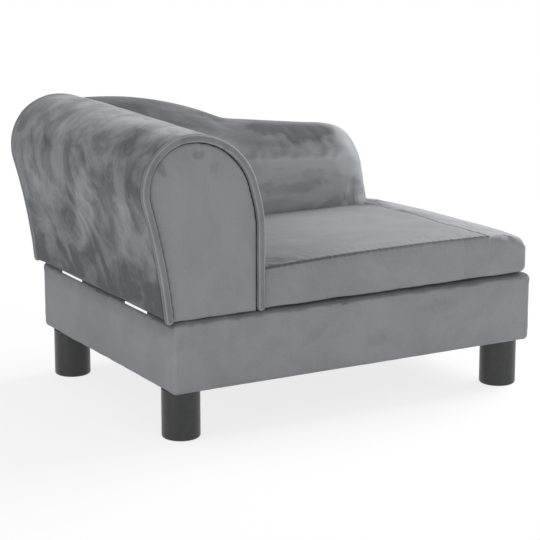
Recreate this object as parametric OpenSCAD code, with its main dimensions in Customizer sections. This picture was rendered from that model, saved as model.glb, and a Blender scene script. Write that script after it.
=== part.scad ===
// Small dog sofa bed: a padded storage box on four round legs. The rolled arm, the
// S topped backrest and the seat pad stand on one board and lift together as its lid.
// Millimetres. +X runs along the front to the right, the front faces -Y, +Z is up.
// Places are counted from the box's front left lower corner, and in_frame() then
// moves them so that the origin is under the middle of the whole sofa.

/* [Base box] */
// Length of the padded box, from the hinge end to the open end
base_len = 550; // [500:5:620]
// Depth of the padded box, front to back
base_dep = 403; // [380:1:440]
// Height of the padded box, legs left out
base_h = 92; // [80:1:110]
// Thickness of the plywood rails
rail_t = 15; // [12:0.5:18]
// Wadding and cloth on the outside of the rails
wad_t = 6; // [4:0.5:8]
// Rounding of the padded edges and corners
soft_r = 8; // [7:0.5:10]
// Thickness of the plywood floor
floor_t = 5; // [3:0.5:8]
// Side of the square blocks in the corners
block_w = 40; // [32:1:46]
// Height of the corner blocks
block_h = 25; // [18:1:35]

/* [Legs] */
// Height of the legs
leg_h = 65; // [50:1:90]
// Diameter of the legs
leg_d = 50; // [38:1:54]
// Rounding of a leg's lower edge
foot_r = 3; // [1:0.5:5]
// Leg axis to the inner face of the end rail
leg_edge_x = 7; // [7:0.5:12]
// Leg axis to the inner face of the front or rear rail
leg_edge_y = 14; // [8:0.5:20]

/* [Hinges] */
// Length of a hinge
hinge_len = 64; // [50:1:76]
// Width of one leaf, measured from the pin
leaf_w = 19; // [17:0.5:21]
// Thickness of a leaf
leaf_t = 1.2; // [1:0.1:1.6]
// Radius of the knuckles
barrel_r = 2.8; // [2.6:0.1:3.2]
// Diameter of the hinge pin
pin_d = 3; // [2.4:0.1:3.4]
// How far the pin stands outside the box
pin_out = 2; // [1:0.5:4]
// Middle of the front hinge, from the front of the box
hinge_y = 94; // [80:1:110]
// Distance between the two hinges
hinge_step = 196; // [170:1:210]

/* [Lid board] */
// Thickness of the board that carries the arm, backrest and seat
lid_t = 9; // [8:0.5:12]
// Cloth under the board
under_t = 0.5; // [0.3:0.1:1]

/* [Rolled arm] */
// Height of the arm over the lid line
arm_h = 231; // [215:1:245]
// Middle of the roll, from the left end of the box
roll_x = 29; // [20:1:40]
// Radius of the outer side of the roll
roll_r = 68; // [60:1:74]
// Radius of the inner side of the roll
crown_r = 96; // [88:1:104]
// How far the inner side still stands out below the crown
inner_out = 10; // [4:1:16]
// Radius of the hollow flare under the roll
flare_r = 850; // [600:10:1200]
// Slope of the flare where it meets the roll
flare_a = 16; // [12:1:20]
// Roll of cloth round the arm's front and rear edges
band_r = 5; // [4:0.5:6]
// Foam under the arm's cloth
arm_foam_t = 7; // [5:0.5:10]
// Bent board round the arm's frame
skin_t = 3; // [2:0.5:4]

/* [Backrest] */
// Height of the backrest's crest over the lid line
crest_h = 226; // [210:1:232]
// Radius of the crest
crest_r = 494; // [440:2:560]
// Steepest slope of the top
crest_a = 22.5; // [18:0.5:26]
// Radius of the hollow behind the crest
dip_r = 148; // [120:2:180]
// Slope of the long low part of the top
low_a = 7; // [4:0.5:9]
// Radius of the end's upper corner
end_r = 67; // [56:1:76]
// Slope of the end from upright
end_a = 10; // [5:0.5:13]
// Step from the open end of the box to the foot of the backrest's end
end_in = 47; // [36:1:70]
// Thickness of the backrest
back_t = 112; // [104:1:120]
// How far the backrest stands over the rear of the box
back_over = 9; // [5:1:14]

/* [Seat] */
// Height of the seat pad over the lid line
seat_h = 53.5; // [45:0.5:62]
// Crown of the seat
seat_crown = 3; // [0:0.5:8]
// Fall of the seat towards the backrest
seat_fall = 14; // [4:0.5:18]
// Step from the open end of the box to the pad's end
seat_in = 6; // [4:0.5:12]
// Width of the end strip beyond the seam
strip_w = 61; // [50:1:70]
// Fall of the end strip at the front
strip_fall = 8; // [2:0.5:12]

/* [Hidden] */

// Fits and overruns shared by all pieces
over = 5;            // how far a cut runs past the faces that it opens
soft_gap = 0.3;      // room between soft faces that only rest on each other
drill_gap = 0.3;     // room round a bolt in a plain hole
pin_gap = 0.05;      // running room round a hinge pin
knuckle_gap = 0.3;   // end play between knuckles
board_t = 12;        // plywood of the arm and backrest frames
batten_w = 28;
batten_h = 18;
round_n = 48;        // sides of turned and drilled pieces
turn_step = 5;       // angle from one arc of an outline to the next arc's first point

// Heights. The hinges hold the lid off the rim of the box by their knuckles.
cloth_t = 2;
dust_t = 1;
rim_t = 3;
pin_room = 0.2;
rim_z = leg_h + base_h;
rail_top = rim_z - rim_t;
pin_z = rim_z + barrel_r + pin_room;
lid_z = pin_z + barrel_r + pin_room;
wood_z = leg_h + cloth_t;
rail_z = wood_z + floor_t;
rail_h = rail_top - rail_z;
board_z = lid_z + under_t;
deck_z = board_z + lid_t;

// Corners of the box's timber and of its hollow
wood_x1 = base_len - wad_t;
wood_y1 = base_dep - wad_t;
in_0 = wad_t + rail_t;
in_x1 = base_len - in_0;
in_y1 = base_dep - in_0;
tuck_w = 14;
dust_in = 10;

// Legs, studs and the nuts let into the corner blocks
leg_x = in_0 + leg_edge_x;
leg_y = in_0 + leg_edge_y;
stud_r = 4;
stud_in_leg = 24;
stud_up = 26;
nut_r = 5;
nut_len = 12;
nut_flange_r = 5.9;
nut_flange_t = 1.2;

// Countersunk screws: radius of the shank and head, depth of the head
screw_r = 2;
screw_head_r = 4;
screw_head_t = 2.5;
rail_screw_len = 42;
rail_screw_shares = [0.25, 0.75];
lid_screw_len = 34;
small_screw_r = 1.5;
small_head_r = 3;
base_screw_len = 14;
knuckles = 5;
leaf_screw_shares = [-0.34, 0, 0.34];
leaf_hole_share = 0.66;
leaf_hole = leaf_w * leaf_hole_share;
leaf_relief = 0.4;

// Front and rear faces of the upper part
arm_y0 = -2;
rear_y = base_dep + back_over;
face_t = 2 * band_r;
frame_y0 = arm_y0 + face_t;
frame_y1 = rear_y - face_t;

// Arm: centres of the roll, the crown and the flare
band_w = 2 * band_r;
inner_a = 15;        // slope of the inner side where the crown ends
knee_r = 150;        // rounding from there into the upright foot
arm_top = lid_z + arm_h;
roll_c = [roll_x, arm_top - roll_r];
crown_c = [roll_x, arm_top - crown_r];
flare_c = roll_c - (roll_r + flare_r) * [cos(flare_a), sin(flare_a)];
foot_a = asin((lid_z - flare_c.y) / flare_r);
arm_w = crown_c.x + crown_r * cos(inner_a) + inner_out;
foam_in = cloth_t + arm_foam_t;
frame_in = foam_in + skin_t;
panel_gap = 0.3;
panel_hang = 3;
panel_round = 3;
panel_crown = 1;
crown_share = 0.35;

// Backrest: centres of its crest, its dip and its corner
crest_step = 33;
crest_x = roll_x + crest_step;
crest_c = [crest_x, lid_z + crest_h - crest_r];
dip_c = crest_c + (crest_r + dip_r) * [sin(crest_a), cos(crest_a)];
low_n = [sin(low_a), cos(low_a)];
end_n = [cos(end_a), sin(end_a)];
low_p = dip_c - dip_r * low_n;
end_p = [base_len - end_in, lid_z + cloth_t];
corner_c = meet(low_n, low_n * low_p - end_r, end_n, end_n * end_p - end_r);
back_y0 = rear_y - back_t;
ridge_share = 0.56;
ridge_y = back_y0 + back_t * ridge_share;
front_drop = 40;
rear_drop = 14;
back_bulge = 7;
back_wall = 14;
back_slab = 34;
foam_edge = 30;
back_skin = 5;
back_panel_t = 5;
slab_y = back_y0 + back_skin;
back_board_y = slab_y + back_slab;
post_w = 30;
post_shares = [0.08, 0.46, 0.84];
post_h = low_p.y - deck_z - end_r - back_wall;

// Seat pad
seat_y0 = 1;
seat_x0 = arm_w + soft_gap;
seat_x1 = base_len - seat_in;
seam_x = seat_x1 - strip_w;
seat_y1 = frame_y1;
seat_skin = 4;
back_room = 0.6;     // room between the pad and the bulged front of the backrest
seam_rise = 2.5;
strip_sag = 9;
edge_r = 3;          // rounding along the front seam
hem_r = 6;           // rounding of the pad's lower edge
top_shares = [0, 0.2, 0.4, 0.6, 0.8, 1];
strip_shares = [0.35, 0.7];
depth_shares = [0.1, 0.3, 0.5, 0.7, 0.85];

// Lid board
board_x0 = flare_x(lid_z, foam_in) + soft_gap;
board_x1 = seat_x1 - seat_skin - cloth_t;
board_y0 = frame_y0;
board_y1 = frame_y1;
stop_r = 4;
stop_in = 40;

// Box of the whole sofa, seen from above
left_x = roll_c.x - roll_r;
mid_x = (left_x + base_len) / 2;
mid_y = (arm_y0 + rear_y) / 2;

plush = "#7b7e82";
plush_light = "#8d9094";
black = "#1c1d1e";
timber = "#c9a77a";
steel = "#c9cbcd";
foam = "#e6dfc8";
felt = "#35373a";

// Shapes that the pieces share

// Moves a piece from the box's corner to the frame of the whole sofa
module in_frame() {
    translate([-mid_x, -mid_y, 0]) children();
}

// Box between two corners
module block(lo, hi) {
    translate(lo) cube(hi - lo);
}

// Upright cylinder from z0 to z1
module post(r, z0, z1) {
    translate([0, 0, z0]) cylinder(r = r, h = z1 - z0, $fn = round_n);
}

// Outline drawn in X and Z, carried from y0 to y1
module slab_xz(outline, y0, y1) {
    translate([0, y1, 0]) rotate([90, 0, 0]) linear_extrude(y1 - y0) polygon(outline);
}

// Points on an arc from angle a0 to a1
function arc(c, r, a0, a1, n) =
    [for (i = [0:n]) let (a = a0 + (a1 - a0) * i / n) c + r * [cos(a), sin(a)]];

// Crossing of two lines, each given by its normal and its distance
function meet(n1, d1, n2, d2) = let (det = n1.x * n2.y - n1.y * n2.x)
    [(d1 * n2.y - d2 * n1.y) / det, (d2 * n1.x - d1 * n2.x) / det];

// What a rounded edge of radius r still lacks at a distance t from its face
function edge(t, r) = t >= r ? 0 : r - sqrt(r * r - pow(r - max(t, 0), 2));

function middle(ring) = [for (p = ring) 1] * ring / len(ring);

// Closed skin over a row of rings, each ring a list of as many points, in triangles
module skin(rings) {
    n = len(rings);
    m = len(rings[0]);
    points = [each [for (r = rings) each r], middle(rings[0]), middle(rings[n - 1])];
    sides = [for (i = [0:n - 2], j = [0:m - 1]) let (
            a = i * m + j, b = i * m + (j + 1) % m, c = a + m, d = b + m)
        each [[a, d, b], [a, c, d]]];
    ends = [for (j = [0:m - 1]) let (k = (j + 1) % m, last = (n - 1) * m)
        each [[n * m, j, k], [n * m + 1, last + k, last + j]]];
    polyhedron(points = points, faces = concat(sides, ends));
}

// Screw with its head at the origin and its shank along -Z
module screw(r, head_r, head_t, length) {
    translate([0, 0, -head_t]) cylinder(r1 = r, r2 = head_r, h = head_t, $fn = round_n);
    translate([0, 0, -length]) cylinder(r = r, h = length, $fn = round_n);
}

// Places of the four legs
module at_legs() {
    for (x = [leg_x, base_len - leg_x], y = [leg_y, base_dep - leg_y])
        translate([x, y, 0]) children();
}

// The corner blocks of the box
module corner_boxes() {
    for (x = [in_0, in_x1 - block_w], y = [in_0, in_y1 - block_w])
        translate([x, y, rail_z]) cube([block_w, block_w, block_h]);
}

// Screws that hold the front and rear rails to the end rails
module rail_screw_set() {
    for (x = [wad_t + rail_t / 2, wood_x1 - rail_t / 2], s = rail_screw_shares)
        for (y = [wad_t, wood_y1])
            translate([x, y, rail_z + rail_h * s]) rotate([y == wad_t ? 90 : -90, 0, 0])
                screw(screw_r, screw_head_r, screw_head_t, rail_screw_len);
}

// Base box

module long_rail(y0) {
    difference() {
        block([wad_t, y0, rail_z], [wood_x1, y0 + rail_t, rail_top]);
        rail_screw_set();
    }
}

module base_front_rail() {
    in_frame() color(timber) long_rail(wad_t);
}

module base_rear_rail() {
    in_frame() color(timber) long_rail(wood_y1 - rail_t);
}

module base_left_rail() {
    in_frame() color(timber) difference() {
        block([wad_t, in_0, rail_z], [in_0, in_y1, rail_top]);
        rail_screw_set();
        hinge_screw_set(true);
    }
}

module base_right_rail() {
    in_frame() color(timber) difference() {
        block([in_x1, in_0, rail_z], [wood_x1, in_y1, rail_top]);
        rail_screw_set();
    }
}

module floor_panel() {
    in_frame() color(timber) difference() {
        block([wad_t, wad_t, wood_z], [wood_x1, wood_y1, rail_z]);
        at_legs() post(stud_r + drill_gap, wood_z - over, rail_z + over);
    }
}

module corner_blocks() {
    in_frame() color(timber) difference() {
        corner_boxes();
        at_legs() post(nut_r, rail_z - over, rail_z + block_h + over);
    }
}

module insert_nuts() {
    top = rail_z + block_h;
    in_frame() color(steel) at_legs() difference() {
        union() {
            post(nut_r, top - nut_len, top);
            post(nut_flange_r, top, top + nut_flange_t);
        }
        post(stud_r, top - nut_len - over, top + nut_flange_t + over);
    }
}

// Rounded box of the cover, drawn in by d all round at height z
function box_ring(d, z) = let (r = max(soft_r - d, soft_gap), x = base_len - d - r,
        y = base_dep - d - r, n = 4)
    [for (p = [each arc([x, y], r, 0, 90, n), each arc([d + r, y], r, 90, 180, n),
        each arc([d + r, d + r], r, 180, 270, n), each arc([x, d + r], r, 270, 360, n)])
        [p.x, p.y, z]];

module base_form() {
    n = 4;
    skin([
        for (i = [0:n]) let (a = 90 * i / n)
            box_ring(soft_r * (1 - sin(a)), leg_h + soft_r * (1 - cos(a))),
        for (i = [0:n]) let (a = 90 * i / n)
            box_ring(soft_r * (1 - cos(a)), rim_z - soft_r * (1 - sin(a)))
    ]);
}

module base_cover() {
    in_tuck = wad_t + tuck_w;
    in_frame() color(plush) difference() {
        base_form();
        block([wad_t, wad_t, wood_z], [wood_x1, wood_y1, rail_top]);
        block([in_0, in_0, rail_z], [in_x1, in_y1, rim_z + over]);
        block([in_tuck, in_tuck, leg_h - over],
            [base_len - in_tuck, base_dep - in_tuck, rail_z]);
        block([dust_in, dust_in, leg_h - over],
            [base_len - dust_in, base_dep - dust_in, leg_h + dust_t]);
        hinge_screw_set(true);
    }
}

module box_lining() {
    in_frame() color(felt) difference() {
        block([in_0, in_0, rail_z], [in_x1, in_y1, rail_top]);
        block([in_0 + dust_t, in_0 + dust_t, rail_z + dust_t],
            [in_x1 - dust_t, in_y1 - dust_t, rail_top + over]);
        corner_boxes();
    }
}

module dust_cloth() {
    in_frame() color(felt) difference() {
        block([dust_in, dust_in, leg_h],
            [base_len - dust_in, base_dep - dust_in, leg_h + dust_t]);
        at_legs() post(stud_r + drill_gap, leg_h - over, leg_h + over);
    }
}

module rail_screws() {
    in_frame() color(steel) rail_screw_set();
}

// Legs

module leg(x, y) {
    r = leg_d / 2;
    section = [[0, 0], each arc([r - foot_r, foot_r], foot_r, -90, 0, 4), [r, leg_h],
        [0, leg_h]];
    in_frame() color(black) translate([x, y, 0]) difference() {
        rotate_extrude($fn = 96) polygon(section);
        post(stud_r, leg_h - stud_in_leg, leg_h + over);
    }
}

module leg_front_left() {
    leg(leg_x, leg_y);
}

module leg_front_right() {
    leg(base_len - leg_x, leg_y);
}

module leg_rear_left() {
    leg(leg_x, base_dep - leg_y);
}

module leg_rear_right() {
    leg(base_len - leg_x, base_dep - leg_y);
}

module leg_studs() {
    in_frame() color(steel) at_legs()
        post(stud_r, leg_h - stud_in_leg, rail_z + stud_up);
}

// Hinges. Each is drawn with its pin on the Y axis and its leaves towards +X.

module at_hinges() {
    for (y = [hinge_y, hinge_y + hinge_step]) translate([-pin_out, y, pin_z]) children();
}

module along_y(r, y0, y1) {
    translate([0, y1, 0]) rotate([90, 0, 0]) cylinder(r = r, h = y1 - y0, $fn = round_n);
}

// Screws of both hinges: down into the box, or up into the lid
module hinge_screw_set(down) {
    side = down ? -1 : 1;
    length = down ? base_screw_len : lid_t + leaf_t;
    at_hinges() for (s = leaf_screw_shares)
        translate([leaf_hole, hinge_len * s, side * (barrel_r + pin_room - leaf_t)])
            rotate([down ? 0 : 180, 0, 0])
                screw(small_screw_r, small_head_r, leaf_t, length);
}

// One leaf with its knuckles: every second one, from the first on the box's leaf
module leaf(first, side) {
    out = barrel_r + pin_room;
    pitch = (hinge_len + knuckle_gap) / knuckles;
    plate = side < 0 ? [-out, leaf_t - out] : [out - leaf_t, out];
    difference() {
        union() {
            block([barrel_r + leaf_relief, -hinge_len / 2, plate[0]],
                [leaf_w, hinge_len / 2, plate[1]]);
            for (k = [first:2:knuckles - 1]) let (y0 = k * pitch - hinge_len / 2) {
                along_y(barrel_r, y0, y0 + pitch - knuckle_gap);
                block([0, y0, plate[0]],
                    [barrel_r + leaf_relief + leaf_t, y0 + pitch - knuckle_gap, plate[1]]);
            }
        }
        along_y(pin_d / 2 + pin_gap, -hinge_len, hinge_len);
    }
}

module hinge_base_leaves() {
    in_frame() color(steel) difference() {
        at_hinges() leaf(0, -1);
        hinge_screw_set(true);
    }
}

module hinge_lid_leaves() {
    in_frame() color(steel) difference() {
        at_hinges() leaf(1, 1);
        hinge_screw_set(false);
    }
}

module hinge_pins() {
    in_frame() color(steel) at_hinges() along_y(pin_d / 2, -hinge_len / 2, hinge_len / 2);
}

module hinge_base_screws() {
    in_frame() color(steel) hinge_screw_set(true);
}

module hinge_lid_screws() {
    in_frame() color(steel) hinge_screw_set(false);
}

// Lid board and what holds the frames to it

module lid_box(grow) {
    block([board_x0, board_y0, board_z] - [grow, grow, over],
        [board_x1, board_y1, deck_z] + [grow, grow, 0]);
}

// Screws up through the board into the arm's boards and the backrest's posts
module lid_screw_set() {
    ends = [frame_y0 + board_t / 2, frame_y1 - board_t / 2];
    feet = [each [for (y = ends, x = [roll_x, arm_w - roll_x]) [x, y]],
        each [for (s = post_shares) [post_x(s) + post_w / 2, post_mid_y()]]];
    for (p = feet) translate([p.x, p.y, board_z]) rotate([180, 0, 0])
        screw(screw_r, screw_head_r, screw_head_t, lid_screw_len);
}

module lid_board() {
    in_frame() color(timber) difference() {
        block([board_x0, board_y0, board_z], [board_x1, board_y1, deck_z]);
        lid_screw_set();
        hinge_screw_set(false);
    }
}

module lid_cloth() {
    in_frame() color(felt) difference() {
        block([board_x0, board_y0, lid_z], [board_x1, board_y1, board_z]);
        hinge_screw_set(false);
    }
}

module lid_screws() {
    in_frame() color(steel) lid_screw_set();
}

// Rubber buttons that hold the open end off the rim, as high as the hinges do
module lid_stops() {
    in_frame() color(black) for (y = [in_0 + stop_in, in_y1 - stop_in])
        translate([in_x1 + stop_r, y, 0]) post(stop_r, rim_z + soft_gap, lid_z);
}

// Rolled arm

// Hollow flare of the arm, drawn in by d, and the place of its lowest chord at height z
function flare(d) = arc(flare_c, flare_r + d, foot_a, flare_a, 4);
function flare_x(z, d) = let (p = flare(d)[0], q = flare(d)[1])
    p.x + (q.x - p.x) * (z - p.y) / (q.y - p.y);

// Outline of the arm seen from the front, drawn in by d, up from z0 on the left,
// over the roll and the crown, and down to z0 on the right
function arm_outline(d, z0 = lid_z) = let (
        foot = flare(d),
        slope = [cos(inner_a), sin(inner_a)],
        knee_c = meet([1, 0], arm_w - knee_r, slope, slope * crown_c + crown_r - knee_r),
        side_x = arm_w - d)
    [[flare_x(z0, d), z0],
        each [for (i = [1:len(foot) - 1]) foot[i]],
        each arc(roll_c, roll_r - d, 180 + flare_a - turn_step, 180, 2),
        each arc(roll_c, roll_r - d, 180 - turn_step, 90, 13),
        each arc(crown_c, crown_r - d, 90 - turn_step, inner_a, 11),
        each arc(knee_c, knee_r - d, inner_a, 0, 3),
        [side_x, z0]];

function arm_ring(d, y, z0 = lid_z) = [for (p = arm_outline(d, z0)) [p.x, y, p.y]];

// Solid form of the arm, with its half round edges
module arm_form() {
    n = 4;
    turns = [for (i = [0:n]) 180 * i / n];
    skin([
        for (a = turns) arm_ring(band_r * (1 + cos(a)), arm_y0 + band_r * (1 - sin(a))),
        for (a = turns) arm_ring(band_r * (1 - cos(a)), rear_y - band_r * (1 - sin(a)))
    ]);
}

module arm_board(y0) {
    difference() {
        slab_xz(arm_outline(frame_in, deck_z), y0, y0 + board_t);
        lid_screw_set();
    }
}

module arm_front_board() {
    in_frame() color(timber) arm_board(frame_y0);
}

module arm_rear_board() {
    in_frame() color(timber) arm_board(frame_y1 - board_t);
}

// Two battens on the lid board and one under the crown, between the boards
module arm_battens() {
    y0 = frame_y0 + board_t;
    y1 = frame_y1 - board_t;
    low_x = [flare_x(deck_z, frame_in), arm_w - frame_in - batten_w];
    in_frame() color(timber) {
        for (x = low_x) block([x, y0, deck_z], [x + batten_w, y1, deck_z + batten_h]);
        block([roll_x - batten_w / 2, y0, arm_top - frame_in - 2 * batten_h],
            [roll_x + batten_w / 2, y1, arm_top - frame_in - batten_h]);
    }
}

module arm_skin() {
    in_frame() color(timber) difference() {
        slab_xz(arm_outline(foam_in, deck_z), frame_y0, frame_y1);
        slab_xz(arm_outline(frame_in, deck_z - over), frame_y0 - over, frame_y1 + over);
    }
}

module arm_foam() {
    in_frame() color(foam) difference() {
        slab_xz(arm_outline(cloth_t), frame_y0, frame_y1);
        slab_xz(arm_outline(foam_in, lid_z - over), frame_y0 - over, frame_y1 + over);
        lid_box(0);
    }
}

module arm_cover() {
    in_frame() color(plush) difference() {
        arm_form();
        slab_xz(arm_outline(band_w - soft_gap, lid_z - over), arm_y0 - over, rear_y + over);
        slab_xz(arm_outline(cloth_t, lid_z - over), frame_y0, frame_y1);
        panel_pocket();
        lid_box(0);
    }
}

// Covered board in the arm's front, slightly crowned
module arm_front_panel() {
    d0 = band_w + panel_gap;
    face = frame_y0 - face_t + band_r / 2;
    wide = crown_share * roll_r;
    z0 = lid_z - panel_hang;
    in_frame() color(plush) skin([arm_ring(d0 + wide, face, z0),
        arm_ring(d0 + panel_round + wide / 2, face + panel_crown / 4, z0),
        arm_ring(d0 + panel_round, face + panel_crown, z0),
        arm_ring(d0, face + panel_crown + panel_round / 2, z0),
        arm_ring(d0, frame_y0, z0)]);
}

// Backrest

// Outline of the backrest seen from the front, drawn in by d, from the crest along
// the S shaped top and round the corner to the foot of its end
function back_outline(d) = [
    each arc(crest_c, crest_r - d, 90, 90 - crest_a, 7),
    each arc(dip_c, dip_r + d, 270 - crest_a + turn_step, 270 - low_a, 3),
    each arc(corner_c, end_r - d, 90 - low_a, end_a, 6),
    [end_p.x - d / cos(end_a), end_p.y]];

// Section of the backrest at point i of its outline: from the rear edge over the
// ridge to the front edge, and down the bulged front
function back_ring(i) = let (
        rears = [for (a = [90:-30:0])
            [ridge_y + (rear_y - ridge_y) * sin(a), rear_drop * (1 - cos(a))]],
        fronts = [for (a = [67.5:-22.5:0])
            [ridge_y - (ridge_y - back_y0) * cos(a), front_drop * (1 - sin(a))]],
        top = [for (s = concat(rears, fronts)) let (p = back_outline(s[1])[i]) [p.x, s[0], p.y]],
        rear = top[0],
        front = top[len(top) - 1],
        bulge = back_bulge * (front.z - lid_z) / crest_h)
    [each top, [front.x, front.y - bulge, (lid_z + front.z) / 2],
        [front.x, front.y, lid_z], [rear.x, rear.y, lid_z]];

module back_form() {
    skin([for (i = [0:len(back_outline(0)) - 1]) back_ring(i)]);
}

// The backrest with room before it and beyond its end, as the pad is cut round it
module back_clear() {
    for (room = [0, back_room]) translate([room, -room, 0]) back_form();
}

// Part of a backrest outline that lies to the right of the arm
module back_slab(d, y0, y1, x0 = arm_w + cloth_t) {
    outline = back_outline(d);
    intersection() {
        slab_xz([[crest_x, deck_z], each outline], y0, y1);
        block([x0, y0 - over, deck_z], [base_len, y1 + over, arm_top]);
    }
}

function post_x(s) = arm_w + cloth_t + (end_p.x - arm_w - front_drop - post_w) * s;
function post_mid_y() = (back_board_y + board_t + frame_y1 - board_t) / 2;

module back_front_board() {
    in_frame() color(timber) back_slab(back_wall, back_board_y, back_board_y + board_t);
}

module back_rear_board() {
    in_frame() color(timber) back_slab(back_wall, frame_y1 - board_t, frame_y1);
}

module back_posts() {
    in_frame() color(timber) difference() {
        for (s = post_shares) block([post_x(s), back_board_y + board_t, deck_z],
            [post_x(s) + post_w, frame_y1 - board_t, deck_z + post_h]);
        lid_screw_set();
    }
}

module back_foam() {
    in_frame() color(foam) back_slab(foam_edge, slab_y, back_board_y);
}

// Recess in the rear for the panel, behind the backrest
module panel_pocket() {
    slab_xz([[crest_x, lid_z - over], each back_outline(rear_drop),
        [end_p.x - rear_drop, lid_z - over]], rear_y - back_panel_t - cloth_t, rear_y + over);
}

module back_cover() {
    in_frame() color(plush) difference() {
        back_form();
        slab_xz(arm_outline(-soft_gap, lid_z - over), back_y0 - back_t, rear_y + over);
        back_slab(foam_edge, slab_y, back_board_y + over);
        back_slab(back_wall, back_board_y, frame_y1);
        panel_pocket();
        lid_box(soft_gap);
    }
}

// Covered board that closes the rear of the arm and the backrest
module back_panel() {
    y1 = rear_y - cloth_t;
    d = rear_drop + panel_gap;
    in_frame() color(plush) {
        slab_xz(arm_outline(band_w + panel_gap), y1 - back_panel_t, y1);
        slab_xz([[crest_x, lid_z], each back_outline(d), [end_p.x - d / cos(end_a), lid_z]],
            y1 - back_panel_t, y1);
    }
}

// Seat pad

// Height of the pad's top, drawn in by k
function seat_top(x, y, k) = let (
        u = min(1, (x - arm_w) / (seam_x - arm_w)),
        v = y / seat_y1,
        t = max(0, (x - seam_x) / strip_w))
    lid_z + seat_h - k + seat_crown * 4 * u * (1 - u) + seam_rise * u - seat_fall * v * v
        - (strip_fall + strip_sag * v) * t * t
        - edge(y - seat_y0 - k, edge_r) - edge(seat_y1 - k - y, soft_r);

// Section of the pad at depth y, drawn in by k
function seat_ring(y, k) = let (
        x0 = seat_x0 + k,
        turn = edge(y - seat_y0 - k, soft_r) + edge(seat_y1 - k - y, soft_r),
        x1 = seat_x1 - k - turn,
        z0 = lid_z + edge(min(y - seat_y0, seat_y1 - y) - k, hem_r),
        tops = [for (s = top_shares) x0 + (seam_x - x0) * s,
            for (s = strip_shares) seam_x + (x1 - soft_r - seam_x) * s],
        z1 = seat_top(x1 - soft_r, y, k) - soft_r,
        section = [each [for (x = tops) [x, seat_top(x, y, k)]],
            each arc([x1 - soft_r, z1], soft_r, 90, 0, 3),
            each arc([x1 - hem_r, z0 + hem_r], hem_r, 0, -90, 3),
            [x0, z0]])
    [for (p = section) [p.x, y, p.y]];

module seat_form(k) {
    y0 = seat_y0 + k;
    y1 = seat_y1 - k;
    near = [0, hem_r * (1 - cos(60)), hem_r, soft_r];
    stations = [each [for (t = near) y0 + t], each [for (s = depth_shares) y0 + (y1 - y0) * s],
        y1 - near[3], y1 - near[2], y1 - near[1], y1];
    skin([for (y = stations) seat_ring(y, k)]);
}

module seat_foam() {
    in_frame() color(foam) difference() {
        seat_form(seat_skin);
        back_clear();
        lid_box(seat_skin + over);
    }
}

module seat_cover() {
    in_frame() color(plush_light) difference() {
        seat_form(0);
        seat_form(seat_skin);
        back_clear();
        lid_box(0);
    }
}

base_front_rail();
base_rear_rail();
base_left_rail();
base_right_rail();
floor_panel();
corner_blocks();
insert_nuts();
leg_front_left();
leg_front_right();
leg_rear_left();
leg_rear_right();
leg_studs();
rail_screws();
base_cover();
box_lining();
dust_cloth();
hinge_base_leaves();
hinge_pins();
hinge_base_screws();
hinge_lid_leaves();
hinge_lid_screws();
lid_board();
lid_cloth();
lid_screws();
lid_stops();
arm_front_board();
arm_rear_board();
arm_battens();
arm_skin();
arm_foam();
arm_cover();
arm_front_panel();
back_front_board();
back_rear_board();
back_posts();
back_foam();
back_cover();
back_panel();
seat_foam();
seat_cover();
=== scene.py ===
# %% [markdown]
# A small dog sofa bed in grey plush: a padded storage box on four round legs, and a lid
# that carries a rolled arm, a backrest and a seat pad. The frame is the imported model.
# Everything here is placed from its boxes, so the soft pieces sit where its solids are.
# Sizes are in millimetres from the box's front left corner, as a maker would measure
# them, and one function turns them into the frame's metres.

# %% Load the frame
import math
import bmesh
import bpy
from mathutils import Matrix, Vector, noise


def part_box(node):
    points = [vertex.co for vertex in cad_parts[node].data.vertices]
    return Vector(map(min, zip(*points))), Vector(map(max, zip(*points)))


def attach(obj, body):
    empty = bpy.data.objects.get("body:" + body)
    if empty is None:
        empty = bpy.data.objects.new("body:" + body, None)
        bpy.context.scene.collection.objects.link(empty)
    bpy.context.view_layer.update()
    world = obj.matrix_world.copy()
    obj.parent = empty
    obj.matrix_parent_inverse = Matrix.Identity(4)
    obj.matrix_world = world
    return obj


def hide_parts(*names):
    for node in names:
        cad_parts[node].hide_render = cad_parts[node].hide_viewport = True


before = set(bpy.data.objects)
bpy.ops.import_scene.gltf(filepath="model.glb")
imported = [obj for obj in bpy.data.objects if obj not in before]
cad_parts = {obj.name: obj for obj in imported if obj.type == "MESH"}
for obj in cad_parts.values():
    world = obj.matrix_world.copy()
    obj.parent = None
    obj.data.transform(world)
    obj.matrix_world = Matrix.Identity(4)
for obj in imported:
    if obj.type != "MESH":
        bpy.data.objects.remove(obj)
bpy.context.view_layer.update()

MM = 0.001
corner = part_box("base_cover")[0]


def place(x, y, z):
    """A point in millimetres from the box's front left corner, z from the floor."""
    return Vector((corner.x + x * MM, corner.y + y * MM, z * MM))


def span(node):
    """Both corners of a CAD node in the same millimetres."""
    lo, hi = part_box(node)
    return [Vector(((p.x - corner.x) / MM, (p.y - corner.y) / MM, p.z / MM)) for p in (lo, hi)]


def linked(name, data):
    """A new object with that data, in the scene and at its origin."""
    made = bpy.data.objects.new(name, data)
    bpy.context.scene.collection.objects.link(made)
    return made


# %% Sizes read from the frame
BOX_LEN, BOX_DEP, RIM_Z = span("base_cover")[1]
LEG_H = span("base_cover")[0].z
RAIL_TOP = span("base_front_rail")[1].z
WAD = span("base_front_rail")[0].y
RIM_IN = span("base_front_rail")[1].y
LID_Z = span("lid_cloth")[0].z
ARM_LO, ARM_HI = span("arm_cover")
SEAT_LO, SEAT_HI = span("seat_cover")
REAR_Y = ARM_HI.y
ARM_W = ARM_HI.x
ARM_TOP = ARM_HI.z
print("lid line", round(LID_Z, 1), "arm top", round(ARM_TOP, 1), "rear", round(REAR_Y, 1))

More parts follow.
